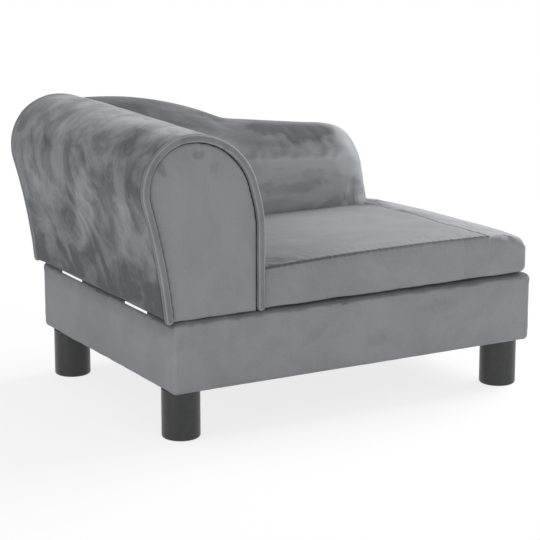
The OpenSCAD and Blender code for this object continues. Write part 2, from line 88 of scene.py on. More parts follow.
# %% [markdown]
# The camera stands where the photographer's stood: to the left of the sofa, a little
# above it, with a long lens, so that the parallel edges hardly run together. Its place
# was found from the corners of the box, in the same frame as the model.

# %% Camera
FOCAL_PX = 2048.745
PHOTO_PX = 540
SENSOR = 36
HEADING = math.radians(29.717)
PITCH = math.radians(13.366)
EYE = (-1110.05, -2187.56, 810.32)

camera = linked("camera", bpy.data.cameras.new("camera"))
camera.data.sensor_width = SENSOR
camera.data.lens = FOCAL_PX / PHOTO_PX * SENSOR
camera.location = place(*EYE)
camera.rotation_euler = (math.pi / 2 - PITCH, 0, -HEADING)
bpy.context.scene.camera = camera
print("lens", round(camera.data.lens, 1), "mm")

# %% [markdown]
# A material is a small graph of nodes. One function adds a node with its settings and
# its links, so that each finish below reads as a list of what it is made of. Colours
# are written as they look on a screen and turned linear by one function.

# %% Helpers for materials


def linear(code, alpha=1.0):
    """An sRGB hex colour as linear red, green, blue and alpha."""
    parts = [int(code[i:i + 2], 16) / 255 for i in (1, 3, 5)]
    return [c / 12.92 if c <= 0.04045 else ((c + 0.055) / 1.055) ** 2.4 for c in parts] + [alpha]


def add(tree, kind, inputs=None, **settings):
    """Adds a node: settings are its own fields, inputs are values or sockets to link."""
    made = tree.nodes.new(kind)
    for field, value in settings.items():
        setattr(made, field, value)
    for socket, value in (inputs or {}).items():
        if isinstance(value, bpy.types.NodeSocket):
            tree.links.new(value, made.inputs[socket])
        else:
            made.inputs[socket].default_value = value
    return made


def noise_of(tree, where, size, detail, roughness=0.5, distortion=0.0):
    """A noise whose features are that large, in millimetres on the real object."""
    return add(tree, "ShaderNodeTexNoise", {
        "Vector": where, "Scale": 1 / (size * MM), "Detail": detail, "Roughness": roughness,
        "Distortion": distortion}).outputs[0]


def maths(tree, operation, *values, clamped=False):
    """One step of arithmetic on sockets and numbers."""
    return add(tree, "ShaderNodeMath", dict(enumerate(values)), operation=operation,
               use_clamp=clamped).outputs[0]


def new_material(name, fixed=None):
    """A material with its shader, which has some fixed values, and Object coordinates."""
    material = bpy.data.materials.new(name)
    material.use_nodes = True
    tree = material.node_tree
    tree.nodes.clear()
    shader = add(tree, "ShaderNodeBsdfPrincipled", fixed)
    add(tree, "ShaderNodeOutputMaterial", {"Surface": shader.outputs[0]})
    return material, tree, shader, add(tree, "ShaderNodeTexCoord").outputs["Object"]


def ranged(tree, value, low, high, to_low=0.0, to_high=1.0):
    """Value from low to high turned smoothly into to_low to to_high."""
    return add(tree, "ShaderNodeMapRange", {0: value, 1: low, 2: high, 3: to_low, 4: to_high},
               interpolation_type="SMOOTHSTEP").outputs[0]


def mixed(tree, share, a, b):
    """Colour a turning into colour b."""
    return add(tree, "ShaderNodeMix", {0: share, 6: linear(a), 7: linear(b)},
               data_type="RGBA").outputs[2]


def dress(tree, shader, colour, rough, height, strength, depth):
    """Links a shader's colour and roughness, and a bump that deep in millimetres."""
    bump = add(tree, "ShaderNodeBump", {
        "Height": height, "Strength": strength, "Distance": depth * MM}).outputs[0]
    for socket, value in (("Base Color", colour), ("Roughness", rough), ("Normal", bump)):
        tree.links.new(value, shader.inputs[socket])


print("material helpers ready")

# %% [markdown]
# The cloth is polyester plush, knitted and then shorn to a short pile. The pile leans one
# way, and where a hand has brushed it the other way it looks darker or lighter, in patches
# with soft, drawn out edges. That is a change of colour, not of height, so two noises make
# it: wide patches, and strokes within them, both stretched along the way the hand moved. A
# mesh can carry marks of its own in an attribute: more than 0 lighter, less than 0 darker.
# The marks hold brushed patches, and also painted highlights, painted sheen and painted shade.
# The pile's noise is drawn coarser than its real 0.3 mm so that it shows. Sheen lightens
# the cloth where it turns away from the eye, as pile does.

# %% Plush
PLUSH_SHADES = ("#505255", "#9a9ca0")
PILE = 1.4


def plush(name, level=0.5, contrast=0.1, patch=60, stroke=14, turn=(0, 0, 0), stretch=2.5,
          gather=0.0):
    """Plush brushed by hand. turn leans the strokes, gather ripples it next to seams."""
    material, tree, shader, where = new_material(name, {
        "Specular IOR Level": 0.2, "Sheen Weight": 0.35, "Sheen Roughness": 0.4,
        "Sheen Tint": linear("#c9cdd2")})
    brushed = add(tree, "ShaderNodeMapping", {
        "Vector": where, "Rotation": [math.radians(a) for a in turn],
        "Scale": (1.0, 1.0, stretch)}, vector_type="TEXTURE").outputs[0]
    patches = noise_of(tree, brushed, patch, 3.0, 0.5, 1.6)
    strokes = noise_of(tree, brushed, stroke, 3.0, 0.62, 0.7)
    pile = noise_of(tree, where, PILE, 2.0)
    # Marks: brushed patches of the pile, and also painted light and shade from each piece.
    marks = add(tree, "ShaderNodeAttribute", attribute_name="marks").outputs["Fac"]
    wide = ranged(tree, patches, 0.34, 0.64, -0.5 * contrast, 0.5 * contrast)
    narrow = ranged(tree, strokes, 0.32, 0.68, -0.2 * contrast, 0.2 * contrast)
    grain = ranged(tree, pile, 0.25, 0.75, level - 0.05, level + 0.05)
    nap = maths(tree, "ADD", maths(tree, "ADD", wide, narrow), marks)
    nap = maths(tree, "ADD", nap, grain, clamped=True)
    across = add(tree, "ShaderNodeMapping", {
        "Vector": where, "Scale": (1.0, 0.3, 0.12)}).outputs[0]
    ripple = noise_of(tree, across, 5.5, 1.0)
    near = add(tree, "ShaderNodeAttribute", attribute_name="gather").outputs["Fac"]
    drawn = maths(tree, "MULTIPLY", ripple, near)
    height = maths(tree, "MULTIPLY_ADD", drawn, gather, pile)
    dress(tree, shader, mixed(tree, nap, *PLUSH_SHADES), ranged(tree, nap, 0.0, 1.0, 0.95, 0.78),
          height, 0.3, 0.5)
    return material


# One cloth, but the copies' levels differ more than the cloth does: each level is set so that its
# piece comes out as light as wanted under these lamps, so part of each level is painted light and
# shade.
plush_arm = plush("plush_arm", 0.37, 0.34, patch=54, stroke=15, turn=(-28, 0, 0), stretch=1.3)
plush_roll = plush("plush_edge_roll", 0.37, 0.12, patch=30)
plush_panel = plush("plush_panel", 0.605, 0.07, patch=60)
plush_seat = plush("plush_seat", 0.655, 0.09, patch=90, stretch=1.0, gather=9.0)
plush_box = plush("plush_box", 0.59, 0.08, patch=80, stroke=22, stretch=1.2)
plush_back = plush("plush_back", 0.95, 0.17, patch=55, stroke=12, turn=(0, 90, 0), stretch=3.2)
print("plush:", [m.name for m in bpy.data.materials if m.name.startswith("plush")])

# %% [markdown]
# The other finishes hardly show while the lid is down, but the box is open to view when it
# lifts. The boards keep the plain plywood, pine and hardboard of the frame. The black cloth
# under the lid and the sofa is pressed from fibres, so it is a matt, speckled black.

# %% Cloth, rubber and metal


def speckled(name, low, high, size, rough, depth=0.2, sheen=0.0):
    """Pressed cloth, thread or rubber: one colour broken up by a noise of that size."""
    material, tree, shader, where = new_material(name, {"Sheen Weight": sheen})
    grain = noise_of(tree, where, size, 4.0, 0.7)
    dress(tree, shader, mixed(tree, ranged(tree, grain, 0.35, 0.65), low, high),
          ranged(tree, grain, 0.3, 0.7, rough, rough - 0.1), grain, 0.4, depth)
    return material


def metal(name, colour, rough, scratch):
    """Plated steel. The plate is smooth, and handling leaves fine scratches."""
    material, tree, shader, where = new_material(name, {
        "Metallic": 1.0, "Base Color": linear(colour)})
    wear = noise_of(tree, where, 2.2, 4.0, 0.7)
    tree.links.new(ranged(tree, wear, 0.35, 0.7, rough, rough + scratch),
                   shader.inputs["Roughness"])
    return material


nonwoven = speckled("nonwoven_cloth", "#17181a", "#2b2d30", 1.2, 0.95, 0.15, 0.15)
rubber = speckled("rubber", "#1b1b1c", "#262627", 1.5, 0.75, 0.05)
nickel = metal("nickel_plate", "#fafaf8", 0.08, 0.12)
zinc = metal("zinc_plate", "#c3c6ca", 0.32, 0.2)
thread = speckled("polyester_thread", "#4b4d50", "#5f6164", 0.6, 0.8, 0.1, 0.2)

# %% [markdown]
# The legs are ABS, moulded with a satin finish: nearly black, with a wide soft highlight
# down each side. Moulded skin is faintly uneven, so a shallow noise moves its edge.

# %% Leg plastic


def moulded_plastic(name, colour, worn):
    """Satin ABS: its skin varies a little in colour and in gloss."""
    material, tree, shader, where = new_material(name, {"IOR": 1.54})
    uneven = noise_of(tree, where, 9, 3.0)
    dress(tree, shader, mixed(tree, ranged(tree, uneven, 0.4, 0.7), colour, worn),
          ranged(tree, uneven, 0.3, 0.7, 0.3, 0.38), noise_of(tree, where, 1.2, 1.0), 0.1, 0.1)
    return material


black_abs = moulded_plastic("black_abs", "#1c1d1e", "#222324")

FINISHES = {
    nickel: ("hinge_base_leaves", "hinge_lid_leaves", "hinge_pins", "hinge_base_screws",
             "hinge_lid_screws"),
    zinc: ("insert_nuts", "leg_studs", "rail_screws", "lid_screws"),
    rubber: ("lid_stops",),
    black_abs: ("leg_front_left", "leg_front_right", "leg_rear_left", "leg_rear_right"),
}
for finish, nodes in FINISHES.items():
    for name in nodes:
        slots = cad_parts[name].data.materials
        slots.clear()
        slots.append(finish)
print("finished CAD nodes:", sum(len(nodes) for nodes in FINISHES.values()))

# %% [markdown]
# The upholstery is drawn from the same outlines as the model: arcs and straight stretches
# seen from the front. Each function gives as many points at every inset, so outlines of
# different insets can be joined into a skin.

# %% Outlines


def clamp(value):
    """The value held between 0 and 1."""
    return max(0, min(1, value))


def eased(value):
    """The same with a soft start and a soft end."""
    share = clamp(value)
    return share * share * (3 - 2 * share)


def fade(distance, reach):
    """1 at no distance, falling evenly to 0 at the reach and beyond."""
    return max(0, 1 - distance / reach)


def steps(lo, hi, n):
    """n + 1 even steps from lo to hi."""
    return [lo + (hi - lo) * i / n for i in range(n + 1)]


def around(centre, radius, degrees):
    """The point that far from a centre at that angle, in X and Z."""
    a = math.radians(degrees)
    return (centre[0] + radius * math.cos(a), centre[1] + radius * math.sin(a))


def arc(centre, radius, start, end, n):
    """n + 1 points on an arc, angles in degrees, in X and Z."""
    return [around(centre, radius, a) for a in steps(start, end, n)]


def line(a, b, n):
    """The n points between a and b, and b itself."""
    return [(a[0] + (b[0] - a[0]) * i / n, a[1] + (b[1] - a[1]) * i / n) for i in range(1, n + 1)]


def dot(a, b):
    """How far b lies along the direction a."""
    return a[0] * b[0] + a[1] * b[1]


def meet(n1, d1, n2, d2):
    """Crossing of two lines given by normal and distance."""
    det = n1[0] * n2[1] - n1[1] * n2[0]
    return ((d1 * n2[1] - d2 * n1[1]) / det, (d2 * n1[0] - d1 * n2[0]) / det)


ROLL_X, ROLL_R, CROWN_R, FLARE_R, FLARE_A = 29, 68, 96, 850, 16
INNER_A, KNEE_R, BAND_R = 15, 150, 5
roll_c = (ROLL_X, ARM_TOP - ROLL_R)
crown_c = (ROLL_X, ARM_TOP - CROWN_R)
flare_c = around(roll_c, -(ROLL_R + FLARE_R), FLARE_A)
foot_a = math.asin((LID_Z - flare_c[1]) / FLARE_R)
slope = around((0, 0), 1, INNER_A)
knee_c = meet((1, 0), ARM_W - KNEE_R, slope,
              dot(slope, crown_c) + CROWN_R - KNEE_R)


def foot_point(inset, z):
    """The arm's outer side carried straight on down to a height."""
    radius = FLARE_R + inset
    rise = z - flare_c[1] - radius * math.sin(foot_a)
    return (flare_c[0] + radius * math.cos(foot_a) - rise * math.tan(foot_a), z)


def arm_outline(inset, left_z=LID_Z, right_z=LID_Z):
    """The arm from the front: up the flare, over the roll and the crown, down inside."""
    flare = arc(flare_c, FLARE_R + inset, math.degrees(foot_a), FLARE_A, 32)
    knee = arc(knee_c, KNEE_R - inset, INNER_A, 0, 8)
    return ([foot_point(inset, left_z)] + flare[1:]
            + arc(roll_c, ROLL_R - inset, 180 + FLARE_A, 90, 30)[1:]
            + arc(crown_c, CROWN_R - inset, 90, INNER_A, 28)[1:] + knee
            + line(knee[-1], (ARM_W - inset, right_z), 20))


CREST_X, CREST_R, CREST_A, DIP_R, LOW_A = 62, 494, 22.5, 148, 7
END_R, END_A, END_IN, BACK_T, BACK_DROP, REAR_DROP, BULGE = 67, 10, 47, 112, 40, 14, 7
crest_z = span("back_cover")[1].z
crest_c = (CREST_X, crest_z - CREST_R)
reach = CREST_R + DIP_R
dip_c = around(crest_c, reach, 90 - CREST_A)
low_n = around((0, 0), 1, 90 - LOW_A)
end_n = around((0, 0), 1, END_A)
low_p = (dip_c[0] - DIP_R * low_n[0], dip_c[1] - DIP_R * low_n[1])
end_p = (BOX_LEN - END_IN, LID_Z)
corner_c = meet(low_n, dot(low_n, low_p) - END_R, end_n, dot(end_n, end_p) - END_R)
BACK_Y = REAR_Y - BACK_T
RIDGE_Y = BACK_Y + BACK_T * 0.56


def back_outline(inset):
    """The backrest from the front: crest, dip, long low top, corner and end."""
    dip = arc(dip_c, DIP_R + inset, 270 - CREST_A, 270 - LOW_A, 9)
    turn = arc(corner_c, END_R - inset, 90 - LOW_A, END_A, 18)
    foot = (end_p[0] - inset / end_n[0], end_p[1])
    return (arc(crest_c, CREST_R - inset, 90, 90 - CREST_A, 38) + dip[1:]
            + line(dip[-1], turn[0], 32) + turn[1:] + line(turn[-1], foot, 20))


SETTLE, SETTLE_REACH = 2.5, 70
HANG, HANG_REACH, HANG_RISE, HANG_IN = 4.5, 60, 25, 14


def settled(point):
    """Towards its rear the arm's top sinks a little, and the hem's outer corner hangs."""
    x, y, z = point
    high = clamp((z - ARM_TOP + SETTLE_REACH) / SETTLE_REACH)
    sunk = SETTLE * eased((y - REAR_Y + SETTLE_REACH) / SETTLE_REACH) * high * (x < ARM_W + 1)
    near = clamp((y - REAR_Y + HANG_REACH) / HANG_REACH)
    low = clamp(1 - (z - LID_Z) / HANG_RISE)
    return (x, y, z - sunk - HANG * near * near * low * clamp(1 - x / HANG_IN))


print("outline points: arm", len(arm_outline(0)), "back", len(back_outline(0)))

# %% [markdown]
# A skin joins a row of closed rings of points into one closed mesh. It is the form of
# everything here that is stretched over a frame. Doubled points are merged and the faces
# are turned outwards, because a ring that shrinks to a line would leave creased shading.

# %% Helpers for meshes


def mesh_object(name, points, faces):
    """A mesh at the origin from points in millimetres."""
    mesh = bpy.data.meshes.new(name)
    mesh.from_pydata([place(*p) for p in points], [], faces)
    return linked(name, mesh)


def rework(built, change):
    """Opens the mesh, lets change(work) alter it and writes it back."""
    work = bmesh.new()
    work.from_mesh(built.data)
    change(work)
    work.to_mesh(built.data)
    work.free()
    return built


def split_wide(work):
    """Cuts faces of many corners into triangles, because rounding those takes minutes."""
    wide = [f for f in work.faces if len(f.verts) > 4]
    bmesh.ops.triangulate(work, faces=wide, quad_method="BEAUTY", ngon_method="EAR_CLIP")


DOUBLED, SLIVER = 0.05, 0.02


def merge(work):
    """Merges doubled points and turns the faces outwards."""
    bmesh.ops.remove_doubles(work, verts=work.verts, dist=DOUBLED * MM)
    bmesh.ops.dissolve_degenerate(work, edges=work.edges, dist=SLIVER * MM)
    bmesh.ops.recalc_face_normals(work, faces=work.faces)
    split_wide(work)


def tidy(built):
    """The same for a whole piece."""
    return rework(built, merge)


def skin(name, rings):
    """Closed mesh through rings of as many points each, capped at both ends."""
    m = len(rings[0])
    faces = [[i * m + j, i * m + (j + 1) % m, (i + 1) * m + (j + 1) % m, (i + 1) * m + j]
             for i in range(len(rings) - 1) for j in range(m)]
    faces += [list(range(m)), [(len(rings) - 1) * m + j for j in range(m)][::-1]]
    return tidy(mesh_object(name, [p for ring in rings for p in ring], faces))


def plain(built):
    """Applies all modifiers by taking the evaluated mesh."""
    graph = bpy.context.evaluated_depsgraph_get()
    mesh = bpy.data.meshes.new_from_object(built.evaluated_get(graph))
    built.modifiers.clear()
    built.data = mesh
    return built


def remeshed(built, size):
    """Even squares of that size over the whole piece."""
    even = built.modifiers.new("even", "REMESH")
    even.mode = "VOXEL"
    even.voxel_size = size * MM
    return plain(built)


def cut(built, cutter):
    """Takes the cutter's solid away from the piece."""
    taking = built.modifiers.new("cut", "BOOLEAN")
    taking.operation = "DIFFERENCE"
    taking.solver = "EXACT"
    taking.object = cutter
    plain(built)
    bpy.data.objects.remove(cutter)
    return rework(built, split_wide)


def block(lo, hi):
    """A box between two corners, as a cutter."""
    points = [(x, y, z) for x in (lo[0], hi[0]) for y in (lo[1], hi[1]) for z in (lo[2], hi[2])]
    faces = [(0, 1, 3, 2), (4, 6, 7, 5), (0, 4, 5, 1), (2, 3, 7, 6), (0, 2, 6, 4), (1, 5, 7, 3)]
    return tidy(mesh_object("cutter", points, faces))


def slab(outline, depths):
    """A front view outline carried through some depths, as a cutter."""
    return skin("cutter", [[settled((x, y, z)) for x, z in outline] for y in depths])


def lid_board_room(gap=0.2):
    """The room that the lid board takes, open below."""
    lo, hi = span("lid_board")
    return block((lo.x - gap, lo.y - gap, lo.z - 20), (hi.x + gap, hi.y + gap, hi.z + gap))


def here(vertex):
    """Where a vertex is, in millimetres from the box's front left corner."""
    co = vertex.co
    return Vector(((co.x - corner.x) / MM, (co.y - corner.y) / MM, co.z / MM))


def wave(point, size, seed):
    """Smooth noise from about -1 to 1 with features of that size in millimetres."""
    return noise.noise(Vector((point[0] / size + seed, point[1] / size, point[2] / size)))


def bump_out(built, height):
    """Moves each point along its normal by height(point, normal), all in millimetres."""
    moved = [v.co + v.normal * height(here(v), v.normal) * MM for v in built.data.vertices]
    for v, co in zip(built.data.vertices, moved):
        v.co = co
    built.data.update()
    return built


def paint(built, name, value):
    """Stores value(point, normal) on each point, for the material to read."""
    layer = built.data.attributes.new(name, "FLOAT", "POINT")
    for v in built.data.vertices:
        layer.data[v.index].value = value(here(v), v.normal)
    return built


def nap_and_highlight_patch(u, v, middle, size, lean, seed):
    """How far a point lies in a soft patch, from 0 to 1. Patches serve as brushed marks of the
    pile and as the arm crown's painted highlight. Its edge is frayed by noise.
    """
    a = math.radians(lean)
    du, dv = u - middle[0], v - middle[1]
    along = (du * math.cos(a) + dv * math.sin(a)) / size[0]
    over = (-du * math.sin(a) + dv * math.cos(a)) / size[1]
    fray = 0.45 * wave((u, v, 0), 17, seed) + 0.3 * wave((u, v, 0), 7, seed + 3)
    return eased((1.25 - math.hypot(along, over) + fray) / 0.5)


def marked(marks, u, v, seed_step, first=0):
    """The brushed marks of a list at one point: middle, size, lean and amount of each."""
    return sum(amount * nap_and_highlight_patch(u, v, middle, size, lean, first + n * seed_step)
               for n, (middle, size, lean, amount) in enumerate(marks))


def smooth(built, material=None):
    """Smooth shading over the whole piece, and its finish."""
    if material:
        built.data.materials.clear()
        built.data.materials.append(material)
    for face in built.data.polygons:
        face.use_smooth = True


def upholster(built, material, body, nodes, fill, soften=1):
    """Finish, rounding and body of one padded piece, with its CAD nodes hidden."""
    smooth(built, material)
    if soften:
        rounding = built.modifiers.new("rounding", "SUBSURF")
        rounding.levels = rounding.render_levels = soften
    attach(built, body)
    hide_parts(*nodes)
    print(built.name, len(built.data.polygons), "faces, fill", fill)
    return built


print("mesh helpers ready")

# %% [markdown]
# A stuffed piece gets its fullness from a short cloth simulation: the cover is blown up a
# little from inside while its seams are held, so that it swells between them as the real
# one does. How far a point may go is capped, because the piece has to stay in its place.

# %% Cloth simulation


def swell(built, held, pressure, cap, spare=0.0, frames=20):
    """Blows the cover up a little. held says which points stay, cap is in millimetres."""
    scene = bpy.context.scene
    start = [v.co.copy() for v in built.data.vertices]
    pinned = built.vertex_groups.new(name="sewn")
    for v in built.data.vertices:
        weight = held(here(v), v.normal)
        if weight > 0:
            pinned.add([v.index], weight, "REPLACE")
    cloth = built.modifiers.new("cloth", "CLOTH")
    cloth.settings.quality = 5
    cloth.settings.mass = 0.3
    cloth.settings.tension_stiffness = cloth.settings.compression_stiffness = 12
    cloth.settings.bending_stiffness = 0.8
    cloth.settings.shrink_min = -spare
    cloth.settings.use_pressure = True
    cloth.settings.uniform_pressure_force = pressure
    cloth.settings.vertex_group_mass = "sewn"
    cloth.settings.effector_weights.gravity = 0
    cloth.collision_settings.use_collision = False
    cloth.point_cache.frame_start = 1
    cloth.point_cache.frame_end = frames
    for step in range(1, frames + 1):
        scene.frame_set(step)
    plain(built)
    scene.frame_set(1)
    far = 0
    for v, was in zip(built.data.vertices, start):
        moved = v.co - was
        far = max(far, moved.length / MM)
        if moved.length > cap * MM:
            v.co = was + moved.normalized() * cap * MM
    built.vertex_groups.clear()
    print(built.name, "swelled by up to", round(far, 1), "mm, capped at", cap)
    return built


print("swelling", "on")

# %% [markdown]
# The arm's cover is one cloth drawn over foam and frame from front to back. At both ends
# it dips into the hollow where the edge roll is sewn on, and a tongue of it lies on the
# end board. That section, seen along the arm, is swept along the outline, and a few more
# rings round its hem, where the real cloth turns under the lid.

# %% Arm cover
FRAME_DEPTH = span("arm_front_board")[0].y - ARM_LO.y
FOAM_IN = 9
ROLL_AT, EDGE_R, HOLLOW_R = 4.8, 5.15, 5.6
TONGUE_IN, TONGUE_T = 16, 0.35


def end_section():
    """Inset and depth of the cover at one end, from the frame out to its plain stretch."""
    front = FRAME_DEPTH - TONGUE_T - 0.05
    hollow = arc((ROLL_AT, BAND_R), HOLLOW_R, 62, 132, 5)
    shoulder = [(0.45, 10.7), (0.12, 13.0), (0.0, 17.0)]
    return ([(FOAM_IN, FRAME_DEPTH), (TONGUE_IN, FRAME_DEPTH - 0.05), (TONGUE_IN, front),
             (FOAM_IN, front)] + hollow + shoulder)


def arm_section():
    """Inset and y once round the cover, and back along the inner side of its foam."""
    front = [(d, ARM_LO.y + depth) for d, depth in end_section()]
    rear = [(d, REAR_Y - depth) for d, depth in reversed(end_section())]
    along = [(0.0, y) for y in steps(front[-1][1], rear[0][1], 76)[1:-1]]
    inner = [(FOAM_IN, y) for y in steps(rear[-1][1], front[0][1], 7)[1:-1]]
    return front + along + rear + inner


section = arm_section()
outlines = {d: arm_outline(d) for d, y in section}
rings = []
for z, shift in ((LID_Z, 3.2), (LID_Z + 0.9, 1.4), (LID_Z + 2.6, 0.35)):
    turned = [(foot_point(d + shift * (d < 5), z), y) for d, y in section]
    rings.append([settled((x, y, z)) for (x, z), y in turned])
for i in range(1, len(outlines[0.0])):
    rings.append([settled((outlines[d][i][0], y, outlines[d][i][1])) for d, y in section])
arm = skin("arm_upholstery", rings)
cut(arm, lid_board_room())


def end_distance(at):
    """How far a point lies from the nearer end of the arm."""
    return min(abs(at.y - ARM_LO.y), abs(REAR_Y - at.y))


def arm_relief(at, normal):
    """Slack in the cover, calm next to the rolls, and a hem that isn't quite straight."""
    calm = clamp((end_distance(at) - 9) / 25)
    hem = fade(at.z - LID_Z, 7) * 0.8 * wave(at, 32, 4.4) * (at.x < 20)
    return (0.9 * wave(at, 75, 3.1) + 0.4 * wave(at, 26, 8.4)) * calm + hem * calm


ARM_MARKS = [((291, 322), (34, 17), 60, -0.24), ((90, 380), (26, 20), 20, -0.26),
             ((262, 262), (40, 26), -35, -0.24), ((103, 196), (70, 26), -18, -0.22),
             ((30, 320), (20, 60), 12, -0.20), ((150, 330), (70, 26), 10, -0.12),
             ((205, 385), (70, 20), -12, 0.26), ((190, 280), (70, 20), -58, 0.22),
             ((100, 250), (60, 17), -62, 0.18), ((330, 380), (60, 26), 0, 0.12),
             ((345, 250), (26, 60), 0, 0.14), ((250, 185), (60, 14), -30, -0.12)]


def arm_marks(at, normal):
    """Where hands have brushed the pile of the arm, a painted highlight on its top and crown,
    painted shade low on its outer side, and the shade in the rolls' hollows.
    """
    outer = clamp((ROLL_X + 30 - at.x) / 50)
    total = 0.19 * (1 - outer) + outer * marked(ARM_MARKS, at.y, at.z, 2.3)
    # Painted highlight: the top of the arm is lighter, and more so along the crown.
    top = 0.10 * max(0, normal.z) ** 2
    top += 0.30 * (normal.z > 0.3) * nap_and_highlight_patch(at.y, at.x, (70, 24), (95, 15), -4, 9.0)
    # Painted shade: the outer side is darker towards the hem.
    low = -0.34 * fade(at.z - LID_Z, 105) * (at.x < ROLL_X)
    return total + top + low - 0.5 * (end_distance(at) < 2 * BAND_R + 0.2)


bump_out(arm, arm_relief)
paint(arm, "marks", arm_marks)
upholster(arm, plush_arm, "lid", ["arm_cover", "arm_foam"], 0.9)

# %% [markdown]
# The edge roll is a tube of wadding in its own strip of cloth, sewn on along both ends of
# the arm. The strip has a fold on each side, so its section is squarish and not round, and
# a highlight is painted along the folds. It ends in a rounded, sewn tip that
# hangs a little below the facing.

# %% Edge rolls
SQUARISH = 2.7
FRONT_TIPS, REAR_TIPS = (157.6, 159.6), (161.6, 164.0)


def roll_section(middle_y, n=28):
    """Inset and y round the roll."""
    made = []
    for i in range(n):
        a = 2 * math.pi * i / n
        c, s = math.cos(a), math.sin(a)
        out = math.copysign(abs(c) ** (2 / SQUARISH), c)
        back_way = math.copysign(abs(s) ** (2 / SQUARISH), s)
        made.append((ROLL_AT + EDGE_R * out, middle_y + EDGE_R * back_way))
    return made


def closing(ring, down, count=5):
    """Rings that round off the end of a tube, from the tip to the ring given."""
    middle = [sum(p[k] for p in ring) / len(ring) for k in range(3)]
    made = []
    for i in range(count):
        a = math.pi / 2 * (i + 0.35) / count
        made.append([(middle[0] + (x - middle[0]) * math.sin(a),
                      middle[1] + (y - middle[1]) * math.sin(a),
                      z - down * math.cos(a)) for x, y, z in ring])
    return made


def edge_roll(name, middle_y, left_z, right_z):
    """A roll along the arm's outline, with its tips at two heights."""
    pairs = roll_section(middle_y)
    lines = {d: arm_outline(d, left_z + EDGE_R, right_z + EDGE_R) for d, y in pairs}
    rings = [[settled((lines[d][i][0], y, lines[d][i][1])) for d, y in pairs]
             for i in range(len(lines[pairs[0][0]]))]
    rings = closing(rings[0], EDGE_R) + rings + closing(rings[-1], EDGE_R)[::-1]
    roll = skin(name, rings)

    def fold_painted_highlight(at, normal):
        """A painted highlight on a fold: where the section turns from its face to its side."""
        # Painted highlight along both folds.
        return 0.50 * fade(abs(abs(normal.y) - 0.70), 0.26)

    bump_out(roll, lambda at, normal: 0.3 * wave(at, 20, 6.1))
    paint(roll, "marks", fold_painted_highlight)
    upholster(roll, plush_roll, "lid", ["arm_cover"], 1.0)


edge_roll("arm_front_roll", ARM_LO.y + BAND_R, *FRONT_TIPS)
edge_roll("arm_rear_roll", REAR_Y - BAND_R, *REAR_TIPS)

# %% [markdown]
# The facing in the arm's front is a thin board padded and covered on its own, then fixed
# in from behind. It is cut as a plate of the arm's outline, remeshed to even squares so
# that the cloth can swell evenly, and held at its rim.

# %% Arm facing
PANEL_IN, PANEL_HANG = 10.5, 3
PANEL_FRONT, PANEL_REAR = ARM_LO.y + 4.6, ARM_LO.y + FRAME_DEPTH - 0.5
FACING_SQUARE = 2.5

hem_z = LID_Z - PANEL_HANG
facing = slab(arm_outline(PANEL_IN, hem_z, hem_z), (PANEL_FRONT, PANEL_REAR))
facing.name = "arm_facing"
remeshed(facing, FACING_SQUARE)


def facing_held(at, normal):
    """Everything but the face stays."""
    return 0.0 if normal.y < -0.7 and at.z > hem_z + 4 else 1.0


def facing_relief(at, normal):
    """Slack in the cloth, and a hem that isn't quite straight."""
    hem = 0.8 * fade(at.z - hem_z, 5) * wave(at, 24, 1.1)
    return 0.35 * wave(at, 60, 2.0) + hem


FACING_MARKS = [((-13, 356), (5, 14), 25, -0.22), ((38, 368), (9, 5), -10, -0.18),
                ((60, 350), (9, 6), 0, -0.10)]


def facing_marks(at, normal):
    """Small darker patches near the groove, and the shade in the groove itself."""
    return -0.3 * (normal.y > -0.5) + marked(FACING_MARKS, at.x, at.z, 1, first=1)


swell(facing, facing_held, 3.0, 3.0)
bump_out(facing, facing_relief)
paint(facing, "marks", facing_marks)
upholster(facing, plush_panel, "lid", ["arm_front_panel"], 0.8)

# %% [markdown]
# The backrest is padded over a thin frame. Seen from the side its top is a lopsided
# round: a long fall to the front, a short one to the rear. Its front bellies out towards
# the sitter. The section is drawn at every point of the S shaped outline and skinned.

# %% Backrest
PANEL_POCKET = 7


def back_section(i, outlines):
    """One ring of the backrest at point i of its outline: top, front, foot and rear."""
    ring = [(outlines[drop][i][0], y, outlines[drop][i][1]) for drop, y in back_top]
    rear, front = ring[0], ring[-1]
    fall = front[2] - LID_Z
    belly = BULGE * fall / (crest_z - LID_Z)
    ring += [(front[0], front[1] - belly * math.sin(math.pi * t), front[2] - fall * t)
             for t in steps(0, 1, 36)[1:]]
    pocket_y = REAR_Y - PANEL_POCKET
    ring += [(x, y, LID_Z) for x, y in zip(steps(front[0], rear[0], 12)[1:],
                                           steps(BACK_Y, pocket_y, 12)[1:])]
    return ring + [(rear[0], pocket_y, z) for z in steps(LID_Z, rear[2], 16)[1:]]


back_top = [(REAR_DROP * (1 - math.cos(a)), RIDGE_Y + (REAR_Y - RIDGE_Y) * math.sin(a))
            for a in map(math.radians, range(90, -1, -10))]
back_top += [(BACK_DROP * (1 - math.sin(a)), RIDGE_Y - (RIDGE_Y - BACK_Y) * math.cos(a))
             for a in map(math.radians, range(84, -1, -6))]
outlines = {drop: back_outline(drop) for drop, y in back_top}
rings = [back_section(i, outlines) for i in range(len(outlines[BACK_DROP]))]
back = skin("backrest", rings)


def back_held(at, normal):
    """Only the front is loose: the foot, the rear and the end's hem are tacked down."""
    return 0.0 if normal.y < -0.25 and at.z > LID_Z + 35 else 1.0


swell(back, back_held, 2.0, 4.0, spare=0.01)
depths = steps(BACK_Y - 40, REAR_Y + 10, 24)
cut(back, slab(arm_outline(-0.8, LID_Z - 20, LID_Z - 20), depths))
cut(back, lid_board_room())


SHOULDER, SHOULDER_OUT = (463, 314), 6.0
CREASE_Z, CREASE_HIGH = 252, 34
TUCK_X, TUCK_WIDE, TUCK_Z, TUCK_HIGH = 432, 30, 208, 26


